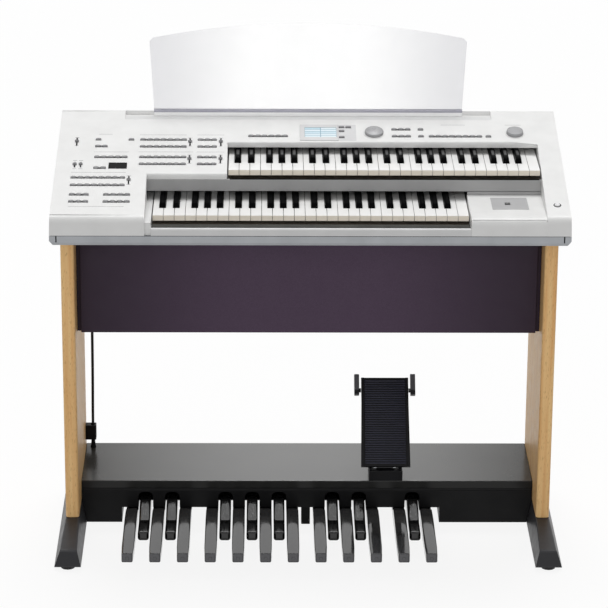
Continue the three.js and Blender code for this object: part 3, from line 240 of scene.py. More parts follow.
def stand_in(node, name, slot, material, radius, steps, sharper=40, where=None, **riding):
    """Stands a copy of a CAD solid with rounded edges in the solid's place."""
    work = solid_copy(node)
    soften(work, radius, steps, sharper, where)
    fit(level_faces(to_piece(name, work)), slot, material, [node], **riding)


beech = beech_veneer()
for side in ("left", "right"):
    stand_in(f"leg_{side}", f"leg_board_{side}", "beech", beech, leg_edge, 2)

# Feet. Long cast feet with sloped sides, painted dark grey, each on two round levelling glides of
# black rubber. A leg board stands on each of them, screwed from below.

foot_edge = 3.5
foot_paint = ("#2A2A2D", "#303033")
glide_black = "#0C0C0D"
glide_top, sole_height = 11, 6.4
paint_peel = 2.2


def beyond(tree, coords, axis, edge):
    """A share that is 0 before a place along an axis, given in metres, and 1 beyond it."""
    spot = add_node(tree, "ShaderNodeSeparateXYZ", {}, {0: coords})
    passed = {0: spot.outputs[axis], 1: edge}
    return add_node(tree, "ShaderNodeMath", {"operation": "GREATER_THAN"}, passed).outputs[0]


def painted_metal(name, colours, rough, shine, glides=False):
    """Sprayed metal with the fine orange peel of wet paint, on its own or above rubber glides."""
    material, tree, shader, coords = new_finish(name, {"Specular IOR Level": shine})
    colour = patches(tree, coords, 60, *colours)
    if glides:
        colour = blend(tree, beyond(tree, coords, 2, sole_height / 1000), glide_black, colour)
    uneven = patches(tree, coords, 20, rough - 0.05, rough + 0.05)
    dress(tree, shader, colour, uneven, patches(tree, coords, paint_peel, 0.0, 1.0), 0.02)
    return material


def above_glides(a, b):
    """Edges of a foot's casting, above the round glides under it."""
    return min(a.z, b.z) > glide_top


foot_finish = painted_metal("dark_grey_sprayed_casting", foot_paint, 0.42, 0.3, True)
for side in ("left", "right"):
    name = f"foot_casting_{side}"
    stand_in(f"foot_{side}", name, "foot_grey", foot_finish, foot_edge, 3, 25, above_glides)

# Knee panel. A melamine-faced chipboard in dark plum brown that stiffens the stand, held to the
# legs by hidden dowels, with a thin edge band and a bolt cap near each corner at the back.

# The end plum is painted shade, so that the middle of the panel looks lit by a sheen.
plum, plum_shaded_end = ("#4A3B4D", "#57465A"), "#332735"
plum_fleck = 0.9
plum_lit_middle, plum_shade_reach = 120, 500
knee_edge, cap_radius = 0.8, 7
cap_places = [(x, 128.2, z) for x in (-478, 478) for z in (510, 716)]


def towards_ends(tree, coords, near, far):
    """A share that grows from 0 in the middle to 1 at a distance out to each side."""
    spot = add_node(tree, "ShaderNodeSeparateXYZ", {}, {0: coords})
    out = add_node(tree, "ShaderNodeMath", {"operation": "ABSOLUTE"}, {0: spot.outputs[0]})
    reach = {0: out.outputs[0], 1: near / 1000, 2: far / 1000}
    easing = {"interpolation_type": "SMOOTHSTEP"}
    return add_node(tree, "ShaderNodeMapRange", easing, reach).outputs[0]


def melamine():
    """Melamine foil pressed on board: a dull, faintly flecked face, darker towards its ends in
    painted shade that leaves its middle looking lit.
    """
    material, tree, shader, coords = new_finish("plum_melamine_board", {"Specular IOR Level": 0.2})
    flecked = patches(tree, coords, plum_fleck, *plum, 1.0)
    colour = blend(tree, towards_ends(tree, coords, plum_lit_middle, plum_shade_reach), flecked, plum_shaded_end)
    grain = patches(tree, coords, plum_fleck, 0.0, 1.0, 1.0)
    dress(tree, shader, colour, patches(tree, coords, 35, 0.44, 0.56), grain, 0.015)
    return material


def repeat_tree():
    """Geometry Nodes: stands a shape at each point of a mesh, turned and stretched."""
    tree = bpy.data.node_groups.new("shape_at_every_point", "GeometryNodeTree")
    for name, kind, way in (
        ("Points", "NodeSocketGeometry", "INPUT"),
        ("Shape", "NodeSocketObject", "INPUT"),
        ("Turn", "NodeSocketVector", "INPUT"),
        ("Finish", "NodeSocketMaterial", "INPUT"),
        ("Pieces", "NodeSocketGeometry", "OUTPUT"),
    ):
        tree.interface.new_socket(name, in_out=way, socket_type=kind)
    given = add_node(tree, "NodeGroupInput").outputs
    shape = add_node(tree, "GeometryNodeObjectInfo", {}, {"Object": given["Shape"]})
    turn = add_node(tree, "FunctionNodeEulerToRotation", {}, {0: given["Turn"]})
    vector = {"data_type": "FLOAT_VECTOR"}
    stretch = add_node(tree, "GeometryNodeInputNamedAttribute", vector, {"Name": "stretch"})
    stood = {
        "Points": given["Points"],
        "Instance": shape.outputs["Geometry"],
        "Rotation": turn.outputs[0],
        "Scale": stretch.outputs["Attribute"],
    }
    stand = add_node(tree, "GeometryNodeInstanceOnPoints", {}, stood)
    real = add_node(tree, "GeometryNodeRealizeInstances", {}, {0: stand.outputs[0]})
    finished = {"Geometry": real.outputs[0], "Material": given["Finish"]}
    painted = add_node(tree, "GeometryNodeSetMaterial", {}, finished)
    add_node(tree, "NodeGroupOutput", {}, {"Pieces": painted.outputs[0]})
    return tree


at_every_point = repeat_tree()


def repeat(name, shape, places, slot, material, tilt=0.0, stretches=None, **fitting):
    """Fits one plain mesh of a shape repeated at places in metres. The shape itself is used up."""
    points = bpy.data.meshes.new(name)
    points.from_pydata([tuple(p) for p in places], [], [])
    wide = points.attributes.new("stretch", "FLOAT_VECTOR", "POINT")
    for i in range(len(places)):
        wide.data[i].vector = stretches[i] if stretches else (1, 1, 1)
    piece = new_object(name, points)
    layout = piece.modifiers.new("layout", "NODES")
    layout.node_group = at_every_point
    values = {"Shape": shape, "Turn": (tilt, 0, 0), "Finish": material}
    for socket in at_every_point.interface.items_tree:
        if socket.name in values:
            layout[socket.identifier] = values[socket.name]
    fit(settled(piece), slot, material, **fitting)
    used_up(shape)


def used_up(piece):
    """Removes a shape whose mesh has gone into another."""
    mesh = piece.data
    bpy.data.objects.remove(piece)
    bpy.data.meshes.remove(mesh)


def round_point(work, radius, height, i, sides):
    """The point of a circle about Z at one of its sides, in millimetres."""
    turn = math.tau * i / sides
    across, back = radius * math.cos(turn) / 1000, radius * math.sin(turn) / 1000
    return work.verts.new((across, back, height / 1000))


def skin(work, rings):
    """Joins each ring of points to the next with faces."""
    for low, high in zip(rings, rings[1:]):
        for i in range(len(low)):
            j = (i + 1) % len(low)
            work.faces.new((low[i], low[j], high[j], high[i]))


def lathed(name, profile, sides, hollow=False):
    """A round shape about Z from (radius, height) points in millimetres, or a hollow ring."""
    work = bmesh.new()
    rings = [[round_point(work, *p, i, sides) for i in range(sides)] for p in profile]
    skin(work, rings + rings[:1] if hollow else rings)
    if not hollow:
        work.faces.new(rings[0][::-1])
        work.faces.new(rings[-1])
    return to_piece(name, work)


plum_melamine = melamine()
stand_in("knee_panel", "knee_board", "plum_board", plum_melamine, knee_edge, 2)
cap_profile = [(cap_radius, -1.5), (cap_radius, 0), (cap_radius - 1, 0.8), (2, 1.1)]
bolt_cap = lathed("bolt_cap", cap_profile, 20)
cap_places = [at(*p) for p in cap_places]
backwards = math.radians(-90)
repeat("knee_board_bolt_caps", bolt_cap, cap_places, "plum_board", plum_melamine, backwards)

# Pedal base. A black laminated board on a moulded black box: its front fascia has an arch over
# each sharp pedal, its ends close the row, and a rubber stub under it takes a player's weight.

board_edge, fascia_edge, stub_edge = 1.5, 2.5, 1.5
fascia_back = 152.6
laminate, edge_band = ("#363635", "#3D3D3B"), "#1E1E1D"
laminate_top = (2, 0.5, 0.9)
# The board's shine is painted: strong in the middle and fading towards its ends.
laminate_sheen_middle, laminate_sheen_half = 40, 560
fascia_black = ("#121213", "#19191A")
spark_grain = 1.4


def facing(tree, axis, start, end):
    """A share that goes from 0 to 1 while a face's normal goes between two values on an axis."""
    face = add_node(tree, "ShaderNodeNewGeometry")
    way = add_node(tree, "ShaderNodeSeparateXYZ", {}, {0: face.outputs["Normal"]})
    span = {0: way.outputs[axis], 1: start, 2: end}
    return add_node(tree, "ShaderNodeMapRange", {}, span).outputs[0]


def glossy_laminate():
    """High pressure laminate with a dull edge band and a painted sheen: its shine is strong in the
    middle and fades towards its ends.
    """
    material, tree, shader, coords = new_finish("black_laminated_board", {"IOR": 1.9})
    up = facing(tree, *laminate_top)
    wear_and_sheen = towards_ends(tree, coords, laminate_sheen_middle, laminate_sheen_half)
    gloss = add_node(tree, "ShaderNodeMapRange", {}, {0: wear_and_sheen, 3: 0.9, 4: 0.08})
    shine = add_node(tree, "ShaderNodeMapRange", {}, {0: up, 3: 0.1, 4: gloss.outputs[0]})
    tree.links.new(shine.outputs[0], shader.inputs["Specular IOR Level"])
    colour = blend(tree, up, edge_band, patches(tree, coords, 90, *laminate))
    dress(tree, shader, colour, patches(tree, coords, 25, 0.17, 0.23))
    return material


def moulded(name, colours, rough, grain, depth, shine=0.5, **constants):
    """Injection moulded plastic: even colour, a fine spark-eroded grain and a soft sheen."""
    constants["Specular IOR Level"] = shine
    material, tree, shader, coords = new_finish(name, constants)
    uneven = patches(tree, coords, 18, rough - 0.05, rough + 0.05)
    fine = patches(tree, coords, grain, 0.0, 1.0, 1.0)
    dress(tree, shader, patches(tree, coords, 45, *colours), uneven, fine, depth)
    return material


def on_fascia(a, b):
    """Edges of the fascia's front face, which stands at the front of the base."""
    return max(a.y, b.y) < fascia_back


laminated = glossy_laminate()
stand_in("pedal_base_board", "pedal_base_top", "black_board", laminated, board_edge, 3)
black_moulding = moulded("black_grained_abs", fascia_black, 0.42, spark_grain, 0.03, 0.12)
base_box = ("pedal_base_housing", "pedal_base_box")
stand_in(*base_box, "black_board", black_moulding, fascia_edge, 3, 40, on_fascia)
rubber_black = moulded("black_moulded_rubber", ("#121213", "#1A1A1B"), 0.62, 0.9, 0.03, 0.12)
stand_in("pedal_base_support", "pedal_base_stub", "black_rubber", rubber_black, stub_edge, 2)

# Bottom strip of the base. A black strip closes the box below the pivots of the pedals, between
# its ends and up to its rear wall. It is painted shade: a dark sheet where the inside of the box
# lies in shade.

box_walls = 34
strip_depth, strip_thick = 84, 1.5
strip_y, strip_z = 313, 5.75


def box_of(node):
    """The lowest and the highest corner of a CAD node in the organ's millimetres."""
    return [in_mm(p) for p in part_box(node)]


def rounded_block(name, size, radius, steps, base=0.0):
    """A block in millimetres, centred on Z and resting at a height, with rounded edges."""
    work = bmesh.new()
    bmesh.ops.create_cube(work, size=0.001)
    bmesh.ops.scale(work, vec=size, verts=work.verts)
    bmesh.ops.translate(work, vec=(0, 0, (size[2] / 2 + base) / 1000), verts=work.verts)
    bevel(work, work.edges[:], radius, steps)
    return to_piece(name, work)


def put(piece, place, degrees=0, axis="X"):
    """Moves a piece's mesh to a place of the organ, turned first by an angle about an axis."""
    piece.data.transform(Matrix.Translation(at(*place)) @ turned(degrees, axis))
    return piece


box_low, box_high = box_of("pedal_base_housing")
strip_size = (box_high.x - box_low.x - box_walls, strip_depth, strip_thick)
base_shade_strip = rounded_block("pedal_base_bottom", strip_size, 0.4, 2)
strip_place = ((box_low.x + box_high.x) / 2, strip_y, strip_z)
fit(put(base_shade_strip, strip_place), "black_board", black_moulding)

# Pivot rod. A bright zinc plated steel rod along the back of the base that all twenty pedals turn
# on, cut to length and held in the box.

rod_radius, rod_chamfer = 2.8, 0.6


def plated_steel():
    """Zinc plated steel: a cool bright metal with faint drawn lines along it."""
    material, tree, shader, coords = new_finish("zinc_plated_steel", {"Metallic": 1.0})
    colour = patches(tree, coords, 2.5, "#B9BCC0", "#CDD0D3", 2.0, (0.05, 1, 1))
    lines = patches(tree, coords, 0.8, 0.0, 1.0, 1.0, (0.05, 1, 1))
    dress(tree, shader, colour, patches(tree, coords, 6, 0.24, 0.38), lines, 0.01)
    return material


rod_low, rod_high = box_of("pedal_pivot_rod")
rod_length = rod_high.x - rod_low.x
rod_profile = [
    (rod_radius - rod_chamfer, 0),
    (rod_radius, rod_chamfer),
    (rod_radius, rod_length - rod_chamfer),
    (rod_radius - rod_chamfer, rod_length),
]
rod = lathed("pedal_rod", rod_profile, 24)
rod_start = (rod_low.x, (rod_low.y + rod_high.y) / 2, (rod_low.z + rod_high.z) / 2)
zinc = plated_steel()
fit(put(rod, rod_start, 90, "Y"), "steel", zinc, ["pedal_pivot_rod"])

# Natural pedals. Twelve hollow moulded levers with a crowned, polished top and a round plug in
# the nose, each turning on the rod at the back of the base.

natural_edge = 3.2
# The lighter nose grey is painted light on the levers' forward faces.
natural_grey, natural_nose_painted_light = ("#353536", "#3E3E3F"), "#5D5D60"
lever_nose = (1, -0.45, -0.9)
natural_line = [(-140, 61), (60, 59), (118, 53), (150, 39.5)]
natural_cuts, natural_crown = (-7, 0, 7), 0.0045
plug_radius, plug_length, plug_lean = 4.2, 1.6, 76
nose_y, nose_z = -143, 50
lever_tail, lever_bore = 160, 16
natural_notes = [f"{letter}_1" for letter in "cdefgab"] + [f"{letter}_2" for letter in "cdefg"]


def polished(name, colours, nose, rough, shine):
    """A polished moulding: a shiny body, a duller nose in a colour of its own, and faint rub marks
    along it. A lighter nose colour is painted light on the forward faces.
    """
    material, tree, shader, coords = new_finish(name)
    front = facing(tree, *lever_nose)
    gloss = add_node(tree, "ShaderNodeMapRange", {}, {0: front, 3: shine, 4: shine * 0.25})
    tree.links.new(gloss.outputs[0], shader.inputs["Specular IOR Level"])
    colour = blend(tree, front, patches(tree, coords, 35, *colours), nose)
    rubbed = patches(tree, coords, 3, rough - 0.05, rough + 0.08, 2.0, (1, 0.06, 1))
    dress(tree, shader, colour, rubbed, patches(tree, coords, 5, 0.0, 1.0, 1.0), 0.01)
    return material


def on_lever_top(a, b):
    """Edges along the top, the nose and the long sides of a pedal, not its bore or its tail."""
    return min(a.y, b.y) < lever_tail and min(a.z, b.z) > lever_bore


def height_along(outline, y):
    """Height of a side outline, given as (y, z) points from front to back, at a place along it."""
    for (y0, z0), (y1, z1) in zip(outline, outline[1:]):
        if y0 - 0.1 <= y <= y1 + 0.1:
            return z0 + (z1 - z0) * (y - y0) / (y1 - y0)
    return None


def cut(work, place, along):
    """Cuts a lever's faces in two at a plane across a direction."""
    everything = work.verts[:] + work.edges[:] + work.faces[:]
    bmesh.ops.bisect_plane(work, geom=everything, dist=1e-6, plane_co=place, plane_no=along)


def crowned_top(work, centre, outline, steps, rise):
    """Cuts a lever lengthwise, and lets its top fall away a little from the middle to each side."""
    for x in steps:
        cut(work, at(centre + x, 0, 0), (1, 0, 0))
    for vert in work.verts:
        spot = in_mm(vert.co)
        height = height_along(outline, spot.y)
        if height is not None and abs(spot.z - height) < 0.15:
            vert.co.z -= rise * (spot.x - centre) ** 2 / 1000


pedal_gloss = polished("polished_dark_grey_abs", natural_grey, natural_nose_painted_light, 0.09, 0.75)
for note in natural_notes:
    node = f"pedal_{note}"
    low, high = box_of(node)
    centre = (low.x + high.x) / 2
    lever = solid_copy(node)
    crowned_top(lever, centre, natural_line, natural_cuts, natural_crown)
    soften(lever, natural_edge, 4, 40, on_lever_top)
    bmesh.ops.create_cone(
        lever,
        cap_ends=True,
        segments=20,
        radius1=plug_radius / 1000,
        radius2=(plug_radius - 0.6) / 1000,
        depth=plug_length / 1000,
        matrix=Matrix.Translation(at(centre, nose_y, nose_z)) @ turned(plug_lean, "X"),
    )
    piece = level_faces(to_piece(f"natural_{node}", lever))
    fit(piece, "pedal_grey", pedal_gloss, [node], node)

# Sharp pedals. Eight shorter levers with a raised black cap that slopes up to the fascia and
# passes under its arch.

sharp_edge = 5.5
sharp_black = ("#0B0B0C", "#111112")
sharp_line = [(-9, 53), (66, 58), (150, 70)]
sharp_crest = [(-9, 53), (58, 49.6), (66, 50.8), (74, 52.8)]
sharp_crest += [(122, 65.6), (130, 67.7), (138, 69.2), (150, 70)]
sharp_notes = ["c_sharp_1", "d_sharp_1", "f_sharp_1", "g_sharp_1", "a_sharp_1"]
sharp_notes += ["c_sharp_2", "d_sharp_2", "f_sharp_2"]


def moved_top(work, old, new, depth):
    """Moves the top of a lever, down to a depth, from one side outline to another."""
    for vert in work.verts:
        spot = in_mm(vert.co)
        height = height_along(old, spot.y)
        if height is not None and spot.z > height - depth:
            vert.co.z += (height_along(new, spot.y) - height) / 1000


sharp_gloss = polished("polished_black_abs", sharp_black, sharp_black[0], 0.07, 0.95)
for note in sharp_notes:
    node = f"pedal_{note}"
    lever = solid_copy(node)
    for y, z in sharp_crest[1:-1]:
        cut(lever, at(0, y, 0), (0, 1, 0))
    soften(lever, sharp_edge, 4, 40, on_lever_top)
    moved_top(lever, sharp_line, sharp_crest, sharp_edge + 1)
    piece = level_faces(to_piece(f"sharp_{node}", lever))
    fit(piece, "pedal_black", sharp_gloss, [node], node)

# Expression pedal. A wide foot plate set steeply on a small black bracket: a steel tray with
# rolled side borders, filled with a ribbed rubber mat, that tilts on a pin in the bracket.

tread_heel = (178.5, 156, 141)
tread_angle = math.radians(50)
tread_length, tread_edge = 212, 1.2
rib_pitch, rib_width, rib_height, rib_edge = 5.6, 3, 1.3, 0.7
mat_half, mat_margin, mat_sunk = 46.5, 5, 0.6


def longer_than(length):
    """Picks the edges that are longer than a length."""
    return lambda a, b: (a - b).length > length


def on_slope(origin, angle, x, along, proud):
    """A point on a slope: across, up the slope from its origin, and out of its face."""
    y = origin[1] + along * math.cos(angle) - proud * math.sin(angle)
    z = origin[2] + along * math.sin(angle) + proud * math.cos(angle)
    return at(origin[0] + x, y, z)


black_sheet = painted_metal("black_powder_coated_steel", ("#0E0E10", "#141417"), 0.38, 0.15)
tread = {"where": longer_than(20), "body": "expression_tread"}
tray = ("expression_tread", "expression_tray", "tread_rubber", black_sheet)
stand_in(*tray, tread_edge, 3, **tread)
mat_rubber = moulded("ribbed_nitrile_rubber", ("#191A2A", "#222335"), 0.34, 1.1, 0.01, 0.3)
rib_count = int((tread_length - 2 * mat_margin) / rib_pitch)
rib_size = (mat_half * 2, rib_width, rib_height + mat_sunk)
rib = rounded_block("mat_rib", rib_size, rib_edge, 2, -mat_sunk)
rib_steps = [mat_margin + rib_pitch * (i + 0.5) for i in range(rib_count)]
rib_places = [on_slope(tread_heel, tread_angle, 0, step, 0) for step in rib_steps]
ribs = ("expression_mat_ribs", rib, rib_places, "tread_rubber", mat_rubber)
repeat(*ribs, tread_angle, body="expression_tread")

# Bracket of the expression pedal. A pressed steel plate screwed to the board with four
# countersunk screws, two ears that hold the pin, and a low shroud at the front.

bracket_edge, screw_radius = 0.8, 3.6
bracket_screws = [at(x, y, 114) for x in (156.5, 200.5) for y in (178, 210)]
bracket = ("expression_bracket", "expression_base", "black_metal", black_sheet)
stand_in(*bracket, bracket_edge, 2, 40, longer_than(7))


def cross_head_screw(name, radius):
    """A domed screw head with a crossed recess, its seat at height 0."""
    sides = 16
    work = bmesh.new()
    dome = [(radius, -0.6), (radius, 0.2), (radius * 0.8, 0.75), (radius * 0.45, 1.05)]
    rings = [[round_point(work, *p, i, sides) for i in range(sides)] for p in dome]
    work.faces.new(rings[0][::-1])
    arm, between = (radius * 0.36, 0.35), (radius * 0.16, 1.0)
    recess = [arm if i % 4 == 0 else between for i in range(sides)]
    rings.append([round_point(work, *p, i, sides) for i, p in enumerate(recess)])
    skin(work, rings)
    work.faces.new(rings[-1])
    return to_piece(name, work, 25)


screw_head = cross_head_screw("bracket_screw", screw_radius)
repeat("expression_base_screws", screw_head, bracket_screws, "steel", zinc)

# Foot switches. A dark grey sprung bar in a black rubber sleeve stands at each side of the foot
# plate, on a black arm, for the toe to push outwards.

switch_edge = 2.5
switch_grey, switch_sleeve = ("#47474A", "#505053"), "#0F0F11"
sleeve_share = 0.36


def sleeved(height):
    """Grey plastic over a black rubber sleeve, which covers the foot of the bar up to a height."""
    material, tree, shader, coords = new_finish("grey_switch_abs", {"Specular IOR Level": 0.4})
    spot = add_node(tree, "ShaderNodeSeparateXYZ", {}, {0: coords})
    edge = {0: spot.outputs[2], 1: at(0, 0, height - 1).z, 2: at(0, 0, height + 1).z}
    above = add_node(tree, "ShaderNodeMapRange", {}, edge)
    grey = patches(tree, coords, 45, *switch_grey)
    colour = blend(tree, above.outputs[0], switch_sleeve, grey)
    dress(tree, shader, colour, patches(tree, coords, 18, 0.25, 0.35))
    return material


switch_low, switch_high = box_of("foot_switch_left")
switch_finish = sleeved(switch_low.z + sleeve_share * (switch_high.z - switch_low.z))
for side in ("left", "right"):
    node, name = f"foot_switch_{side}", f"toe_switch_{side}"
    moving = {"where": longer_than(9), "body": node}
    stand_in(node, name, "switch_grey", switch_finish, switch_edge, 3, **moving)

# Pedal lead. One black flexible cable from the console down beside the left leg to the pedal
# base, held by a clip. Both ends go into the instrument, so its whole length shows.

lead_thick = 3.2
lead_column, lead_y = -495.6, 348
lead_route = [(0, 108.3), (0, 165), (1.4, 300), (2, 425), (2, 560), (2, 706), (2, 742.7)]

lead_line = bpy.data.curves.new("pedal_cable", "CURVE")
lead_line.dimensions = "3D"
lead_line.bevel_depth = lead_thick / 1000
lead_line.bevel_resolution = 5
lead_line.resolution_u = 8
lead_line.use_fill_caps = True
run = lead_line.splines.new("BEZIER")
run.bezier_points.add(len(lead_route) - 1)
for spot, (bow, z) in zip(run.bezier_points, lead_route):
    spot.co = at(lead_column + bow, lead_y, z)
    spot.handle_left_type = spot.handle_right_type = "AUTO"
lead = new_object("pedal_cable", lead_line)
seen = lead.evaluated_get(bpy.context.evaluated_depsgraph_get())
lead_mesh = bpy.data.meshes.new_from_object(seen)
bpy.data.objects.remove(lead)
lead_work = bmesh.new()
lead_work.from_mesh(lead_mesh)
lead = to_piece("pedal_cable", lead_work, 60)
lead_sheath = moulded("black_pvc_sheath", ("#0F0F10", "#161617"), 0.4, 2.5, 0.01, 0.2)
fit(lead, "black_rubber", lead_sheath, ["pedal_lead"])

# Strain reliefs. A ribbed rubber sleeve where the cable enters the base and the console.

gland_height, gland_ribs, gland_collar = 22, 5, 2
lower_gland = (lead_column, lead_y, 108)
upper_gland = (lead_column + 2, lead_y, 743)

gland_profile = [(6.6, 0), (6.6, gland_collar)]
for i in range(gland_ribs):
    foot = gland_collar + i * (gland_height - gland_collar) / gland_ribs
    wide = 5.8 - i * 0.42
    neck = wide - 0.9
    gland_profile += [(wide, foot), (wide, foot + 2.6), (neck, foot + 2.6), (neck, foot + 4)]
gland_profile.append((3.3, gland_height))
for name, place, degrees in (("lower", lower_gland, 0), ("upper", upper_gland, 180)):
    gland = lathed(f"cable_sleeve_{name}", gland_profile, 20)
    fit(put(gland, place, degrees), "black_rubber", rubber_black)

# Cable clip. A black moulded block screwed to the inside of the left leg.

clip_edge = 1.5
clip = ("lead_clip", "cable_clip", "black_clip", black_moulding)
stand_in(*clip, clip_edge, 3, 40, longer_than(9))

# Console tray. The shallow bottom strip of the console, painted silver grey, with an end cap at
# each corner. The mechanism stands in it, and the white casing drops over it.

tray_silver = ("#A8ABAF", "#B2B5B9")
tray_edge, tray_rim = 1.2, 752


def tray_bottom(a, b):
    """The long lower edges of the tray, not the rim that the casing covers."""
    return (a - b).length > 20 and min(a.z, b.z) < tray_rim


tray_finish = moulded("silver_sprayed_abs", tray_silver, 0.36, 0.8, 0.01, Metallic=0.25)
tray = ("keybed_tray", "console_tray")
stand_in(*tray, "silver_trim", tray_finish, tray_edge, 2, 40, tray_bottom)

# End cap seams. The dark joints in the strip beside each corner cap, on its front.

seam_size = (3, 1.0, 14.6)
seam_places = [at(x, -54.6, 750.2) for x in (-543.5, 543.5)]

shadow_black = moulded("shadowed_joint", ("#1A1B1D", "#222326"), 0.7, 1.5, 0.01, 0.1)
seam_line = rounded_block("seam_line", seam_size, 0.2, 1)
repeat("end_cap_seams", seam_line, seam_places, "silver_trim", shadow_black)

# Casing gasket. A thin dark cord in the joint between the strip and the casing, on the front.

gasket_size, gasket_place = (1112, 1.2, 1.5), (0, -54.5, 764.2)

gasket = rounded_block("casing_gasket", gasket_size, 0.3, 1)
gasket_grey = moulded("grey_gasket_cord", ("#3A3B3D", "#434446"), 0.7, 1.2, 0.01)
fit(put(gasket, gasket_place), "silver_trim", gasket_grey)

# Upper casing. One large white moulding: the sloped control panel, the cheeks, the well of the
# upper keys and the back. Its corners are rolled, and its face has a fine satin grain.

casing_white, casing_grain = ("#E9E9E8", "#EFEFEE"), 1.1
casing_edge, well_edge = 1.4, 7
roll_front, roll_foot = 115, 843
roll_radius, wider_roll = 7, 12
rim_length, rim_low = 24, 768
well_back, well_floor, well_least = 247, 877, 100
panel_tilt = math.atan(0.25)


def casing_rims(a, b):
    """The long edges of the casing: its ends, its wells and its recess, not the button slots."""
    return (a - b).length > rim_length and min(a.z, b.z) > rim_low


def well_rim(a, b):
    """The long edge at the back of the upper keys' well."""
    at_back = max(abs(p.y - well_back) for p in (a, b)) < 1
    return at_back and abs(a.x - b.x) > well_least and min(a.z, b.z) > well_floor


casing = solid_copy("top_case")
roll_middle = roll_front + roll_radius
turn_back = roll_radius * math.tan((math.pi / 2 - panel_tilt) / 2)
wider_foot = roll_foot - turn_back * (wider_roll / roll_radius - 1)
for vert in casing.verts:
    spot = in_mm(vert.co)
    across, up = roll_middle - spot.y, spot.z - roll_foot
    if across > 0 and up > -0.2 and abs(math.hypot(across, up) - roll_radius) < 0.15:
        across, up = (wider_roll * part / roll_radius for part in (across, up))
        vert.co = at(spot.x, roll_front + wider_roll - across, wider_foot + up)
soften(casing, well_edge, 5, 38, well_rim)
soften(casing, casing_edge, 3, 38, casing_rims)
white_moulding = moulded("white_grained_abs", casing_white, 0.4, casing_grain, 0.012, 0.45)
casing = level_faces(to_piece("console_casing", casing))
fit(casing, "white_shell", white_moulding, ["top_case"])

# Right deck. The white block beside the lower keys, with a rolled front edge.

deck_edge = 1.2
deck = ("right_deck", "deck_block", "white_shell", white_moulding)
stand_in(*deck, deck_edge, 3, 50, longer_than(8))

# Deck nose strip. A white strip that closes the slit which the thin shell leaves in the middle of
# the deck's rolled front edge.

nose_size, nose_place, nose_lean = (158, 5.6, 1), (425, -49.57, 798.57), 45

deck_nose = rounded_block("deck_nose", nose_size, 0.1, 1, -1)
fit(put(deck_nose, nose_place, nose_lean), "white_shell", white_moulding)

# Media panel. A light grey plate set in the deck round a small dark port.

plate_edge = 0.6
plate_grey = moulded("light_grey_satin_abs", ("#B4B4B5", "#BDBDBE"), 0.38, 0.9, 0.01)
plate = ("media_panel", "media_plate", "grey_shell", plate_grey)
stand_in(*plate, plate_edge, 2, 38, longer_than(6))

# Key slip. The low rail in front of the lower keys, moulded in the casing's plastic, with a
# rounded top edge. A dark strip along the back of its top is painted shade, the shadow of the keys.

slip_edge = 0.8
slip_shade_size, slip_shade_place = (683, 21.5, 0.9), (1.25, -38.6, 781.9)

slip_grey = moulded("pale_grey_abs", ("#D9D9D9", "#E0E0E0"), 0.4, casing_grain, 0.012)
stand_in("key_slip", "front_slip", "pale_plastic", slip_grey, slip_edge, 2, 50)
slip_shade_finish = moulded("charcoal_painted_shade", ("#464644", "#535350"), 0.9, 0.7, 0.08, 0.05)
felt_strip = rounded_block("felt_strip", slip_shade_size, 0.3, 2)
fit(put(felt_strip, slip_shade_place), "pale_plastic", slip_shade_finish)

# Riser. The grey strip between the manuals, clipped to the front of the upper key frame. A black
# strip on its top is painted shade, the shadow under the upper keys' fronts.

riser_edge = 0.8
riser_shade_size, riser_shade_place = (676, 5, 1.2), (164, 118.4, 836.9)

riser_grey = moulded("mid_grey_abs", ("#A2A2A2", "#A9A9A9"), 0.42, 1.0, 0.012)
riser = ("upper_key_rail", "riser_strip", "grey_shell", riser_grey)
stand_in(*riser, riser_edge, 2, 38, longer_than(20))
black_painted_shade = moulded("black_painted_shade_strip", ("#0D0D0D", "#151515"), 0.9, 0.7, 0.08, 0.05)
riser_felt = rounded_block("riser_felt", riser_shade_size, 0.3, 2)
fit(put(riser_felt, riser_shade_place), "grey_shell", black_painted_shade)

# Deck seal. A grey foam strip that closes the gap between the right deck and the riser above it.

seal_size, seal_place = (161, 2.6, 6.7), (425, 113.9, 804.15)

deck_seal = rounded_block("deck_seal", seal_size, 0.3, 2)
fit(put(deck_seal, seal_place), "grey_shell", riser_grey)

# Ledge filler. A white block that carries the ledge beside the lower keys on under the riser.

filler_size, filler_place = (13, 48, 8), (-348.3, 139.2, 785)

ledge_filler = rounded_block("ledge_filler", filler_size, 0.4, 2)
fit(put(ledge_filler, filler_place), "white_shell", white_moulding)

# Lower and upper white keys. Twenty nine acrylic-faced plastic keys on each manual, a millimetre
# apart, with softly rounded tops and a cream front lip. They rock on their rear ends.

key_edge = 0.7
key_white, key_lip = ("#FDFCFA", "#FFFFFE"), "#FFF6E6"
key_front = (1, -0.5, -0.95)


def key_acrylic():
    """White acrylic with a low shine on top, and a slightly creamier moulded front lip."""
    material, tree, shader, coords = new_finish("white_key_acrylic", {"Specular IOR Level": 0.12})
    top = patches(tree, coords, 60, *key_white)
    colour = blend(tree, facing(tree, *key_front), top, key_lip)
    wear_and_sheen = patches(tree, coords, 14, 0.16, 0.26, 2.0, (1, 0.3, 1))
    dress(tree, shader, colour, wear_and_sheen, patches(tree, coords, 6, 0.0, 1.0, 1.0), 0.004)
    return material


white_key_finish = key_acrylic()
for manual in ("lower", "upper"):
    node = f"{manual}_white_keys"
    rim = box_of(node)[1].z - 0.1
    top_edges = {"where": lambda a, b: min(a.z, b.z) > rim, "body": node}
    name = f"{manual}_manual_naturals"
    stand_in(node, name, "key_white", white_key_finish, key_edge, 3, **top_edges)

# Lower and upper black keys. Twenty on each manual, moulded in matt black with a narrower crown,
# leaning sides and a raked, rounded nose. They stand between the white keys.

white_pitch = 23.5
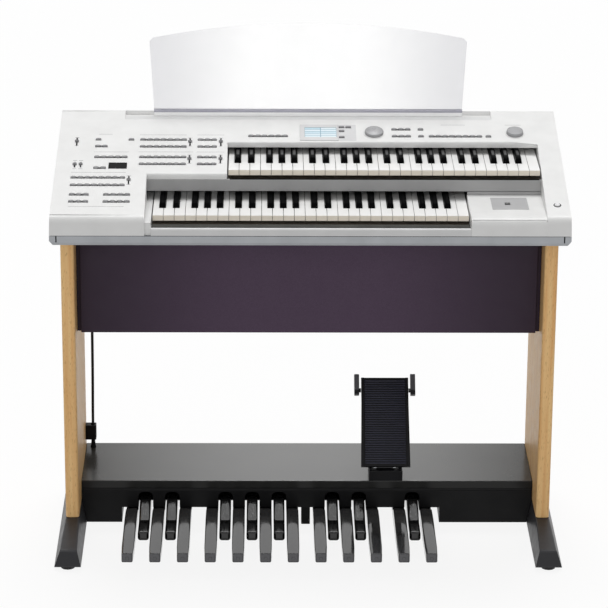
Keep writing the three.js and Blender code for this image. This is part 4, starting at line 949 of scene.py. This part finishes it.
# The shiny band on the black keys' crowns is a painted highlight.
painted_highlight_span, painted_highlight_fade = (199, 236), 0.008
black_front = 50.8
black_foot, black_crown = -6, 12
black_top = (2, 0.985, 0.998)
black_shifts = {0: -0.13, 1: 0.13, 3: -0.16, 4: 0, 5: 0.16}
black_side = [(3.4, 1.0), (4.9, 0.97), (5.8, 0.88), (6.6, 0.55), (6.6, 0.0)]
black_section = [(-x, share) for x, share in reversed(black_side)] + black_side
black_stations = [
    (50.8, 0.42, 0.9),
    (51.6, 0.62, 0.96),
    (53.4, 0.84, 1.0),
    (55.2, 0.93, 1.0),
    (58.0, 0.98, 1.0),
    (63.0, 1.0, 1.0),
    (226.0, 1.0, 1.0),
    (228.0, 0.94, 1.0),
]


def black_key_shape():
    """One black key, lofted from its nose to its tail through the same ten-point section."""
    work = bmesh.new()
    rings = []
    for y, tall, wide in black_stations:
        rise, back = (black_crown - black_foot) * tall, y - black_front
        ring = [Vector((x * wide, back, black_foot + rise * share)) for x, share in black_section]
        rings.append([work.verts.new(point / 1000) for point in ring])
    skin(work, rings)
    work.faces.new(rings[0])
    work.faces.new(rings[-1][::-1])
    return to_piece("black_key", work, 50)


def key_resin():
    """Matt black moulded resin with a band of raised shine on the flat crowns: a painted highlight
    on the upper keys.
    """
    material, tree, shader, coords = new_finish("black_key_resin")
    share = facing(tree, *black_top)
    spot = add_node(tree, "ShaderNodeSeparateXYZ", {}, {0: coords})
    for place, fade in zip(painted_highlight_span, (painted_highlight_fade, -painted_highlight_fade)):
        edge = {0: spot.outputs[1], 1: at(0, place, 0).y, 2: at(0, place, 0).y + fade}
        within = add_node(tree, "ShaderNodeMapRange", {}, edge)
        both = {0: share, 1: within.outputs[0]}
        share = add_node(tree, "ShaderNodeMath", {"operation": "MULTIPLY"}, both).outputs[0]
    shine = add_node(tree, "ShaderNodeMapRange", {}, {0: share, 3: 0.01, 4: 0.6})
    tree.links.new(shine.outputs[0], shader.inputs["Specular IOR Level"])
    wear_and_sheen = patches(tree, coords, 10, 0.3, 0.45, 2.0, (1, 0.25, 1))
    grain = patches(tree, coords, 0.9, 0.0, 1.0, 1.0)
    dress(tree, shader, patches(tree, coords, 30, "#060607", "#0B0B0C"), wear_and_sheen, grain, 0.012)
    return material


black_key_finish = key_resin()
for manual, left in (("lower", -339.5), ("upper", -177.5)):
    low, high = box_of(f"{manual}_white_keys")
    node = f"{manual}_black_keys"
    places = []
    for octave in range(4):
        for step, shift in black_shifts.items():
            column = left + (octave * 7 + step + 1 + shift) * white_pitch
            places.append(at(column, low.y + black_front, high.z))
    keys = (f"{manual}_manual_sharps", black_key_shape(), places, "key_black", black_key_finish)
    repeat(*keys, replaced=[node], body=node)

# Key frames. The brown primed pressed trays under the keys, with the seats that they rock on.
# They only show as the dark gap in front of and below the keys.


def keep_node(name, material):
    """Gives a CAD node whose shape is right its finish."""
    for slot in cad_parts[name].material_slots:
        slot.material = material


frame_steel = painted_metal("primed_key_frame", ("#6E655B", "#7A7065"), 0.5, 0.1)
for manual in ("lower", "upper"):
    keep_node(f"{manual}_key_frame", frame_steel)

# Circuit board. A green glass-fibre board behind the left cheek that carries the mains inlet, a
# black socket that faces the back.

inlet_front_y = 350
inlet_black = "#19191A"
track_scale = 60.0
track_greens = {"Color1": "#1F5B3A", "Color2": "#246442", "Mortar": "#4C8A62"}


def board_finish():
    """Solder-masked glass fibre with paler tracks, and the black socket behind it."""
    coat = {"Coat Weight": 0.2, "Coat Roughness": 0.3}
    material, tree, shader, coords = new_finish("solder_masked_circuit_board", coat)
    pattern = {"Vector": coords, "Scale": track_scale}
    pattern.update((part, linear(green)) for part, green in track_greens.items())
    tracks = add_node(tree, "ShaderNodeTexBrick", {"offset": 0.3}, pattern)
    behind = beyond(tree, coords, 1, at(0, inlet_front_y, 0).y)
    colour = blend(tree, behind, tracks.outputs[0], inlet_black)
    dress(tree, shader, colour, patches(tree, coords, 8, 0.35, 0.5))
    return material


keep_node("main_board", board_finish())

# Push buttons. Small grey caps with rounded tops that stand 2.4 mm out of the panel in rows,
# each bank on its own carrier under the panel.

panel_corner = (0, -55, 806)
button_pitch = 15.15
button_size = (12.2, 7)
button_proud, button_below = 2.4, 2.2
left_rows = [
    (-466.4, 322, 1),
    (-393.4, 322, 1),
    (-466.4, 293.2, 2),
    (-466.4, 247.6, 5),
    (-466.4, 202.3, 2),
    (-513.8, 162.2, 8),
    (-513.8, 131.5, 8),
    (-513.8, 92.8, 3),
    (-513.8, 64.6, 3),
    (-439.8, 92.8, 4),
    (-439.8, 64.6, 4),
]
voice_levels = (321.8, 292.3, 247.8, 218.9)
voice_rows = [(x, s, count) for x, count in ((-367.6, 7), (-240.3, 3)) for s in voice_levels]
menu_rows = [(73.6, 377, 2), (73.6, 360.3, 1), (73.6, 334, 1)]
function_rows = [
    (-128.2, 338.2, 6),
    *menu_rows,
    (191, 367.8, 3),
    (191, 338.2, 3),
    (249.8, 367.8, 1),
    (249.8, 338.2, 1),
    (273.5, 338.2, 8),
    (399.8, 338.2, 1),
]
banks = {
    "left_panel_buttons": left_rows,
    "voice_buttons": voice_rows,
    "function_buttons": function_rows,
}


def on_panel(x, up, proud=0):
    """A point of the control panel: across, up its slope from the front corner, out of its face."""
    return on_slope(panel_corner, panel_tilt, x, up, proud)


def row_centres(rows):
    """The centre of every button in rows that are given as first column, level and count."""
    return [(x + i * button_pitch, s) for x, s, count in rows for i in range(count)]


button_grey = moulded("grey_button_abs", ("#6E6E70", "#777779"), 0.34, 0.8, 0.01)
cap_size = (*button_size, button_proud + button_below)
for bank, rows in banks.items():
    cap = rounded_block("button_cap", cap_size, 1.8, 4, -button_below)
    places = [on_panel(x, s) for x, s in row_centres(rows)]
    caps = (f"{bank}_caps", cap, places, "pale_plastic", button_grey, panel_tilt)
    repeat(*caps, replaced=[bank], body=bank)

# Sliders. Short grey caps with a raised grip line, each in a narrow slot in the panel.

slider_sets = {
    "left_panel_sliders": [(-513.8, 313), (-513.8, 216), (-500.7, 216), (-393.4, 152.3)],
    "voice_level_sliders": [(x, s) for x in (-263.2, -195) for s in (312.3, 240)],
}
slider_parts = [
    ("slider_block", (9, 5, 3.2), 0.7, 0.4),
    ("slider_grip", (8.4, 1.2, 1.6), 0.4, 3.4),
    ("slider_stem", (2.4, 2.4, 5), 0.2, -4),
]


def joined(name, *pieces):
    """Puts the meshes of several pieces into one object."""
    work = bmesh.new()
    for piece in pieces:
        work.from_mesh(piece.data)
        used_up(piece)
    return to_piece(name, work)


slider_grey = moulded("dark_grey_slider_abs", ("#7B7B7D", "#868688"), 0.36, 0.8, 0.01)
for bank, spots in slider_sets.items():
    parts = [rounded_block(part, size, edge, 2, low) for part, size, edge, low in slider_parts]
    cap = joined("slider_cap", *parts)
    places = [on_panel(x, s) for x, s in spots]
    caps = (f"{bank}_caps", cap, places, "grey_shell", slider_grey, panel_tilt)
    repeat(*caps, replaced=[bank], body=bank)

# Printed panel lines. Thin grey rules that group the buttons, and a short blank dash at each
# button in the place of a label, screen printed on the casing.

group_rules = [
    (-375.7, -271.2, 342.6),
    (-247.9, -187.4, 342.6),
    (-376, -255, 270),
    (-248, -187, 270),
    (-474.5, -397.5, 269.5),
    (-520.6, -400.8, 184),
    (296, 350, 388),
    (440, 475, 388),
    (-466, -436, 345),
    (-520, -400, 45),
]
tick_reach, dash_rise = 17.3, 7.2
rule_thick, rule_size, rule_low = 1.0, (1, 1, 0.2), -0.14
tick_stretch, dash_stretch = (9, 1.6, 1), (7, 0.7, 1)

ink_grey = moulded("grey_screen_print", ("#8C8C8D", "#959596"), 0.5, 1.5, 0.005)
rule = rounded_block("printed_rule", rule_size, 0.02, 1, rule_low)
printed = [(on_panel((x0 + x1) / 2, s), (x1 - x0, rule_thick, 1)) for x0, x1, s in group_rules]
for x, s in (spot for spots in slider_sets.values() for spot in spots):
    printed += [(on_panel(x, s + reach), tick_stretch) for reach in (-tick_reach, tick_reach)]
for rows in banks.values():
    printed += [(on_panel(x, s + dash_rise), dash_stretch) for x, s in row_centres(rows)]
places, stretches = zip(*printed)
repeat("panel_print", rule, places, "white_shell", ink_grey, panel_tilt, stretches)

# Liquid crystal screen. A blue backlit screen under a clear window, in a pale grey bezel that
# also frames the menu buttons beside it.

bezel, bezel_depth = (-19.4, 65.2, 319.9, 387.1), (-2.5, 1.0)
glass = (-9, 62, 333.5, 375.5)
window, window_depth = (-8.8, 61.8, 333.7, 375.3), (-2.9, 0.4)
field, field_depth = (65.6, 105.6, 319.5, 387.5), (-0.1, 0.25)
menu_holes = [(x - 6.7, x + 6.7, s - 4.1, s + 4.1) for x, s in row_centres(menu_rows)]
cell_size = {"Scale": 1000.0, "Brick Width": 35.5, "Row Height": 8.4, "Mortar Size": 1.2}
cell_blues = {"Color1": "#E9F5FA", "Color2": "#BFDDEA", "Mortar": "#7FA9BE"}


def holed_plate(name, outline, holes, low, high):
    """A flat plate on the panel with holes, each given as left, right, low and high edge."""
    across = sorted({v for h in (outline, *holes) for v in h[:2]})
    along = sorted({v for h in (outline, *holes) for v in h[2:]})
    work = bmesh.new()
    corners = {(x, s): work.verts.new(on_panel(x, s, high)) for x in across for s in along}
    for xa, xb in zip(across, across[1:]):
        for sa, sb in zip(along, along[1:]):
            x, s = (xa + xb) / 2, (sa + sb) / 2
            if not any(h[0] < x < h[1] and h[2] < s < h[3] for h in holes):
                work.faces.new([corners[p] for p in ((xa, sa), (xb, sa), (xb, sb), (xa, sb))])
    down = on_panel(0, 0, low) - on_panel(0, 0, high)
    raised = bmesh.ops.extrude_face_region(work, geom=work.faces[:])
    moved = [v for v in raised["geom"] if isinstance(v, bmesh.types.BMVert)]
    bmesh.ops.translate(work, vec=down, verts=moved)
    nearly_flat = math.radians(0.5)
    bmesh.ops.dissolve_limit(work, angle_limit=nearly_flat, verts=work.verts, edges=work.edges)
    return to_piece(name, work)


def lit_screen():
    """A backlit blue screen: pale blocks of cells with darker blue lines, under a glossy window."""
    window_coat = {"Coat Weight": 0.3, "Coat Roughness": 0.05, "Roughness": 0.3}
    material, tree, shader, coords = new_finish("backlit_blue_screen", window_coat)
    corner = {"Location": on_panel(glass[0], glass[2]), "Rotation": (panel_tilt, 0, 0)}
    laid = {"vector_type": "TEXTURE"}
    flat = add_node(tree, "ShaderNodeMapping", laid, {"Vector": coords, **corner})
    pattern = {"Vector": flat.outputs[0], "Mortar Smooth": 0.4, **cell_size}
    pattern.update((part, linear(blue)) for part, blue in cell_blues.items())
    cells = add_node(tree, "ShaderNodeTexBrick", {"offset": 0.0}, pattern)
    tree.links.new(cells.outputs[0], shader.inputs["Base Color"])
    return material


bezel_grey = moulded("pale_grey_bezel_abs", ("#D3D3D4", "#DADADB"), 0.38, 0.9, 0.01)
fit(holed_plate("screen_bezel", bezel, [glass], *bezel_depth), "grey_shell", bezel_grey)
fit(holed_plate("menu_field", field, menu_holes, *field_depth), "grey_shell", bezel_grey)
screen_plate = holed_plate("screen_window", window, [], *window_depth)
fit(screen_plate, "screen_blue", lit_screen(), ["lcd_screen"])

# Level display. A small black window over a row of unlit segments in the left block.

level_outline, level_depth = (-439.3, -399.7, 199.7, 224.3), (-2.9, 0.5)
display_glass = moulded("smoked_acrylic_window", ("#050506", "#0A0A0B"), 0.1, 4, 0.003, 0.1)
level_plate = holed_plate("level_window", level_outline, [], *level_depth)
fit(level_plate, "display_black", display_glass, ["level_display"])

# Data dial and volume knob. Two round turned-looking plastic knobs on spindles, each in a thin
# collar on the panel. The dial has a finger dimple, the knob a plain flat crown.

dial_place, dial_radius, dial_height = (145.8, 352.8), 20.8, 7
knob_place, knob_radius, knob_height = (459.6, 352.8), 18.8, 8
dimple_radius, dimple_out, mark_out = 4.4, 0.0105, 0.012
spindle_radius, spindle_foot, knob_gap = 3, -12, 0.3
collar_gap, collar_width = 0.6, 3.2
mark_size, knob_sides = (1.4, 7, 0.5), 56


def lay_on_panel(piece, place):
    """Moves a shape's mesh onto the panel, square to its face."""
    tilt = Matrix.Rotation(panel_tilt, 4, "X")
    piece.data.transform(Matrix.Translation(on_panel(*place)) @ tilt)
    return piece


def stepped(radius, height, steps):
    """A profile from steps given as how far they lie inside a radius and below a height."""
    return [(radius - inward, height - down) for inward, down in steps]


spindle = [(spindle_radius, spindle_foot), (spindle_radius, knob_gap)]
dial_steps = [(0, 2.4), (0.5, 1.2), (1.6, 0.3), (3, 0), (4, 0.1), (4.4, 0.5), (4.9, 0.2)]
dial_profile = [*spindle, (dial_radius - 0.5, knob_gap), (dial_radius, 0.8)]
dial_profile += [*stepped(dial_radius, dial_height, dial_steps), (2, dial_height - 0.45)]
dimple_steps = [(0, 0.9), (0, 0.1), (0.5, -0.15), (1.1, 0.1)]
dimple_profile = [*stepped(dimple_radius, dial_height, dimple_steps), (0.8, dial_height - 0.4)]
knob_steps = [(0.5, 2), (1.1, 0.8), (2.2, 0.1), (4, 0)]
knob_profile = [*spindle, (knob_radius - 0.4, knob_gap), (knob_radius, 0.8)]
knob_profile += [*stepped(knob_radius, knob_height, knob_steps), (2, knob_height - 0.3)]

dial_grey = moulded("silver_grey_knob_abs", ("#A0A0A2", "#AAAAAC"), 0.3, 0.7, 0.01)
dimple = lathed("dial_dimple", dimple_profile, 24)
dimple.data.transform(Matrix.Translation((0, dimple_out, 0)))
dial_cap = joined("data_dial_cap", lathed("dial_body", dial_profile, knob_sides), dimple)
mark = rounded_block("knob_mark", mark_size, 0.2, 2, knob_height - 0.3)
mark.data.transform(Matrix.Translation((0, mark_out, 0)))
knob_cap = joined("volume_knob_cap", lathed("knob_body", knob_profile, knob_sides), mark)
for name, cap, node, place, radius in (
    ("dial", dial_cap, "data_dial", dial_place, dial_radius),
    ("knob", knob_cap, "volume_knob", knob_place, knob_radius),
):
    fit(lay_on_panel(cap, place), "pale_plastic", dial_grey, [node], node)
    inner, outer = radius + collar_gap, radius + collar_gap + collar_width
    collar_loop = [(inner, -0.1), (outer, -0.1), (outer, 0.3), (outer - 0.6, 0.8)]
    collar_loop += [(inner + 0.4, 0.8), (inner, 0.4)]
    collar = lathed(f"{name}_collar", collar_loop, knob_sides, True)
    fit(lay_on_panel(collar, place), "white_shell", white_moulding)

# Power button. A small pale round latching button in a dark ring on the right cheek.

power_place = (530.6, 53.8)
power_radius, power_proud, power_flange = 5.8, 2.5, 1.8
power_flange_low, power_flange_high = -5.2, -3.4

flange = power_radius + power_flange
power_profile = [(flange, power_flange_low), (flange, power_flange_high)]
power_profile.append((power_radius, power_flange_high))
power_steps = [(0, 0.8), (0.4, 0.2), (1.1, 0), (2.6, 0.15)]
power_profile += [*stepped(power_radius, power_proud, power_steps), (1, power_proud - 0.5)]
power_cap = lathed("power_cap", power_profile, 36)
power_white = moulded("pale_button_abs", ("#DEDEDF", "#E6E6E7"), 0.34, 0.8, 0.01)
power = ("grey_shell", power_white, ["power_button"], "power_button")
fit(lay_on_panel(power_cap, power_place), *power)
ring_loop = [(6.5, -0.1), (8.4, -0.1), (8.4, 0.3), (7.9, 0.7), (6.9, 0.7), (6.5, 0.4)]
power_ring = lathed("power_ring", ring_loop, 36, True)
ring_grey = moulded("dark_grey_ring_abs", ("#3D3D3F", "#464648"), 0.4, 0.9, 0.01)
fit(lay_on_panel(power_ring, power_place), "grey_shell", ring_grey)

# Rail of the music rest. An extruded grey channel along the back of the recess. The rest drops
# into its slot.

rail_edge = 0.8
rail_face_low = 913.5


def rail_finish():
    """Anodised aluminium channel: violet grey on its lip, plain pale grey on the foot below it."""
    material, tree, shader, coords = new_finish("anodised_aluminium_channel", {"Metallic": 0.35})
    drawn = patches(tree, coords, 3, "#A3A2AE", "#AFAEB9", 2.0, (0.04, 1, 1))
    colour = blend(tree, beyond(tree, coords, 2, rail_face_low / 1000), "#FAFAFA", drawn)
    lines = patches(tree, coords, 1.2, 0.0, 1.0, 1.0, (0.03, 1, 1))
    dress(tree, shader, colour, patches(tree, coords, 8, 0.3, 0.42), lines, 0.008)
    return material


rail = ("music_rest_rail", "rest_rail", "grey_shell", rail_finish())
stand_in(*rail, rail_edge, 2, 40, longer_than(10))

# Recess shade. A thin pale grey strip laid in the floor of the recess in front of the rail, painted
# shade that darkens the floor of the recess.

recess_shade_size, recess_shade_place = (820, 27.6, 0.5), (0, 357.6, 904.5)

recess_shade_sheet = rounded_block("recess_liner", recess_shade_size, 0.15, 1)
recess_shade_finish = moulded("pale_grey_recess_shade", ("#DEDEDE", "#E5E5E5"), 0.45, 1.0, 0.01)
fit(put(recess_shade_sheet, recess_shade_place), "grey_shell", recess_shade_finish)

# Music rest. A sheet of frosted acrylic 4 mm thick with a gently crowned top, its edges polished,
# which drops into the rail.

rest_edge = 1.2
# Towards the ends of the sheet its colour greys: painted shade.
rest_shade_middle, rest_shade_half = 100, 370


def frosted_acrylic():
    """Frosted acrylic: a milky sheet that lets soft light through, greyed towards its ends by
    painted shade.
    """
    clear = {"IOR": 1.49, "Transmission Weight": 1.0}
    material, tree, shader, coords = new_finish("frosted_acrylic_sheet", clear)
    milk = patches(tree, coords, 120, "#FDFDFD", "#FFFFFF")
    colour = blend(tree, towards_ends(tree, coords, rest_shade_middle, rest_shade_half), milk, "#E2E2E4")
    frost = patches(tree, coords, 0.9, 0.0, 1.0, 1.0)
    dress(tree, shader, colour, patches(tree, coords, 20, 0.3, 0.4), frost, 0.01)
    return material


frosted = frosted_acrylic()
sheet = ("music_rest", "music_rest_sheet", "frosted_sheet", frosted, rest_edge, 3)
stand_in(*sheet, body="music_rest")

# Screws at the back of the console. Zinc plated cross-head screws that hold the casing to the
# tray.

casing_screw_radius = 3.8
back_screws = [at(x, 389, 780) for x in (-520, -260, 0, 260, 520)]
screw_head = cross_head_screw("casing_screw", casing_screw_radius)
repeat("casing_back_screws", screw_head, back_screws, "white_shell", zinc, backwards)

# Floor, background and light. A white floor that keeps the organ's shadow, a white world that the
# camera and the glossy faces see, one broad soft lamp overhead and a weak one low in front.

floor_reach = 14
floor_grey, floor_glow = "#BCBCBC", 0.88
sky_strength = 0.36
plain_white = (1, 1, 1, 1)
lamps = [("soft_overhead", 1.75, 30, -18, 0), ("low_front_fill", 0.55, 40, 74, -8)]


def seen_directly(tree):
    """A share that is 1 for the camera and for what glossy and clear faces show."""
    path = add_node(tree, "ShaderNodeLightPath").outputs
    seen = path["Is Camera Ray"]
    for kind in ("Is Glossy Ray", "Is Transmission Ray"):
        both = {0: seen, 1: path[kind]}
        seen = add_node(tree, "ShaderNodeMath", {"operation": "MAXIMUM"}, both).outputs[0]
    return seen


floor_mesh = bpy.data.meshes.new("studio_floor")
corners = [(-1, -1), (1, -1), (1, 1), (-1, 1)]
corners = [(x * floor_reach, y * floor_reach, 0) for x, y in corners]
floor_mesh.from_pydata(corners, [], [(0, 1, 2, 3)])
floor = new_object("studio_floor", floor_mesh)
floor_finish = bpy.data.materials.new("white_studio_floor")
floor_finish.use_nodes = True
tree = floor_finish.node_tree
tree.nodes.clear()
seen = seen_directly(tree)
paper = blend(tree, seen, floor_grey, "#FFFFFF")
lit = add_node(tree, "ShaderNodeBsdfDiffuse", {}, {"Color": paper})
bright = add_node(tree, "ShaderNodeEmission", {}, {"Color": plain_white, "Strength": 1.0})
glow = add_node(tree, "ShaderNodeMath", {"operation": "MULTIPLY"}, {0: seen, 1: floor_glow})
mixed = {0: glow.outputs[0], 1: lit.outputs[0], 2: bright.outputs[0]}
floor_mix = add_node(tree, "ShaderNodeMixShader", {}, mixed)
add_node(tree, "ShaderNodeOutputMaterial", {}, {"Surface": floor_mix.outputs[0]})
floor_mesh.materials.append(floor_finish)

sky = bpy.data.worlds.new("white_studio")
sky.use_nodes = True
scene.world = sky
tree = sky.node_tree
tree.nodes.clear()
soft, white = (
    add_node(tree, "ShaderNodeBackground", {}, {"Color": plain_white, "Strength": strength})
    for strength in (sky_strength, 1.0)
)
mixed = {0: seen_directly(tree), 1: soft.outputs[0], 2: white.outputs[0]}
sky_mix = add_node(tree, "ShaderNodeMixShader", {}, mixed)
add_node(tree, "ShaderNodeOutputWorld", {}, {"Surface": sky_mix.outputs[0]})

for name, energy, softness, tilt, turn in lamps:
    sun = bpy.data.lights.new(name, "SUN")
    sun.energy = energy
    sun.angle = math.radians(softness)
    new_object(name, sun).matrix_world = turned(turn, "Z") @ turned(tilt, "X")

scene.view_settings.view_transform = "Standard"
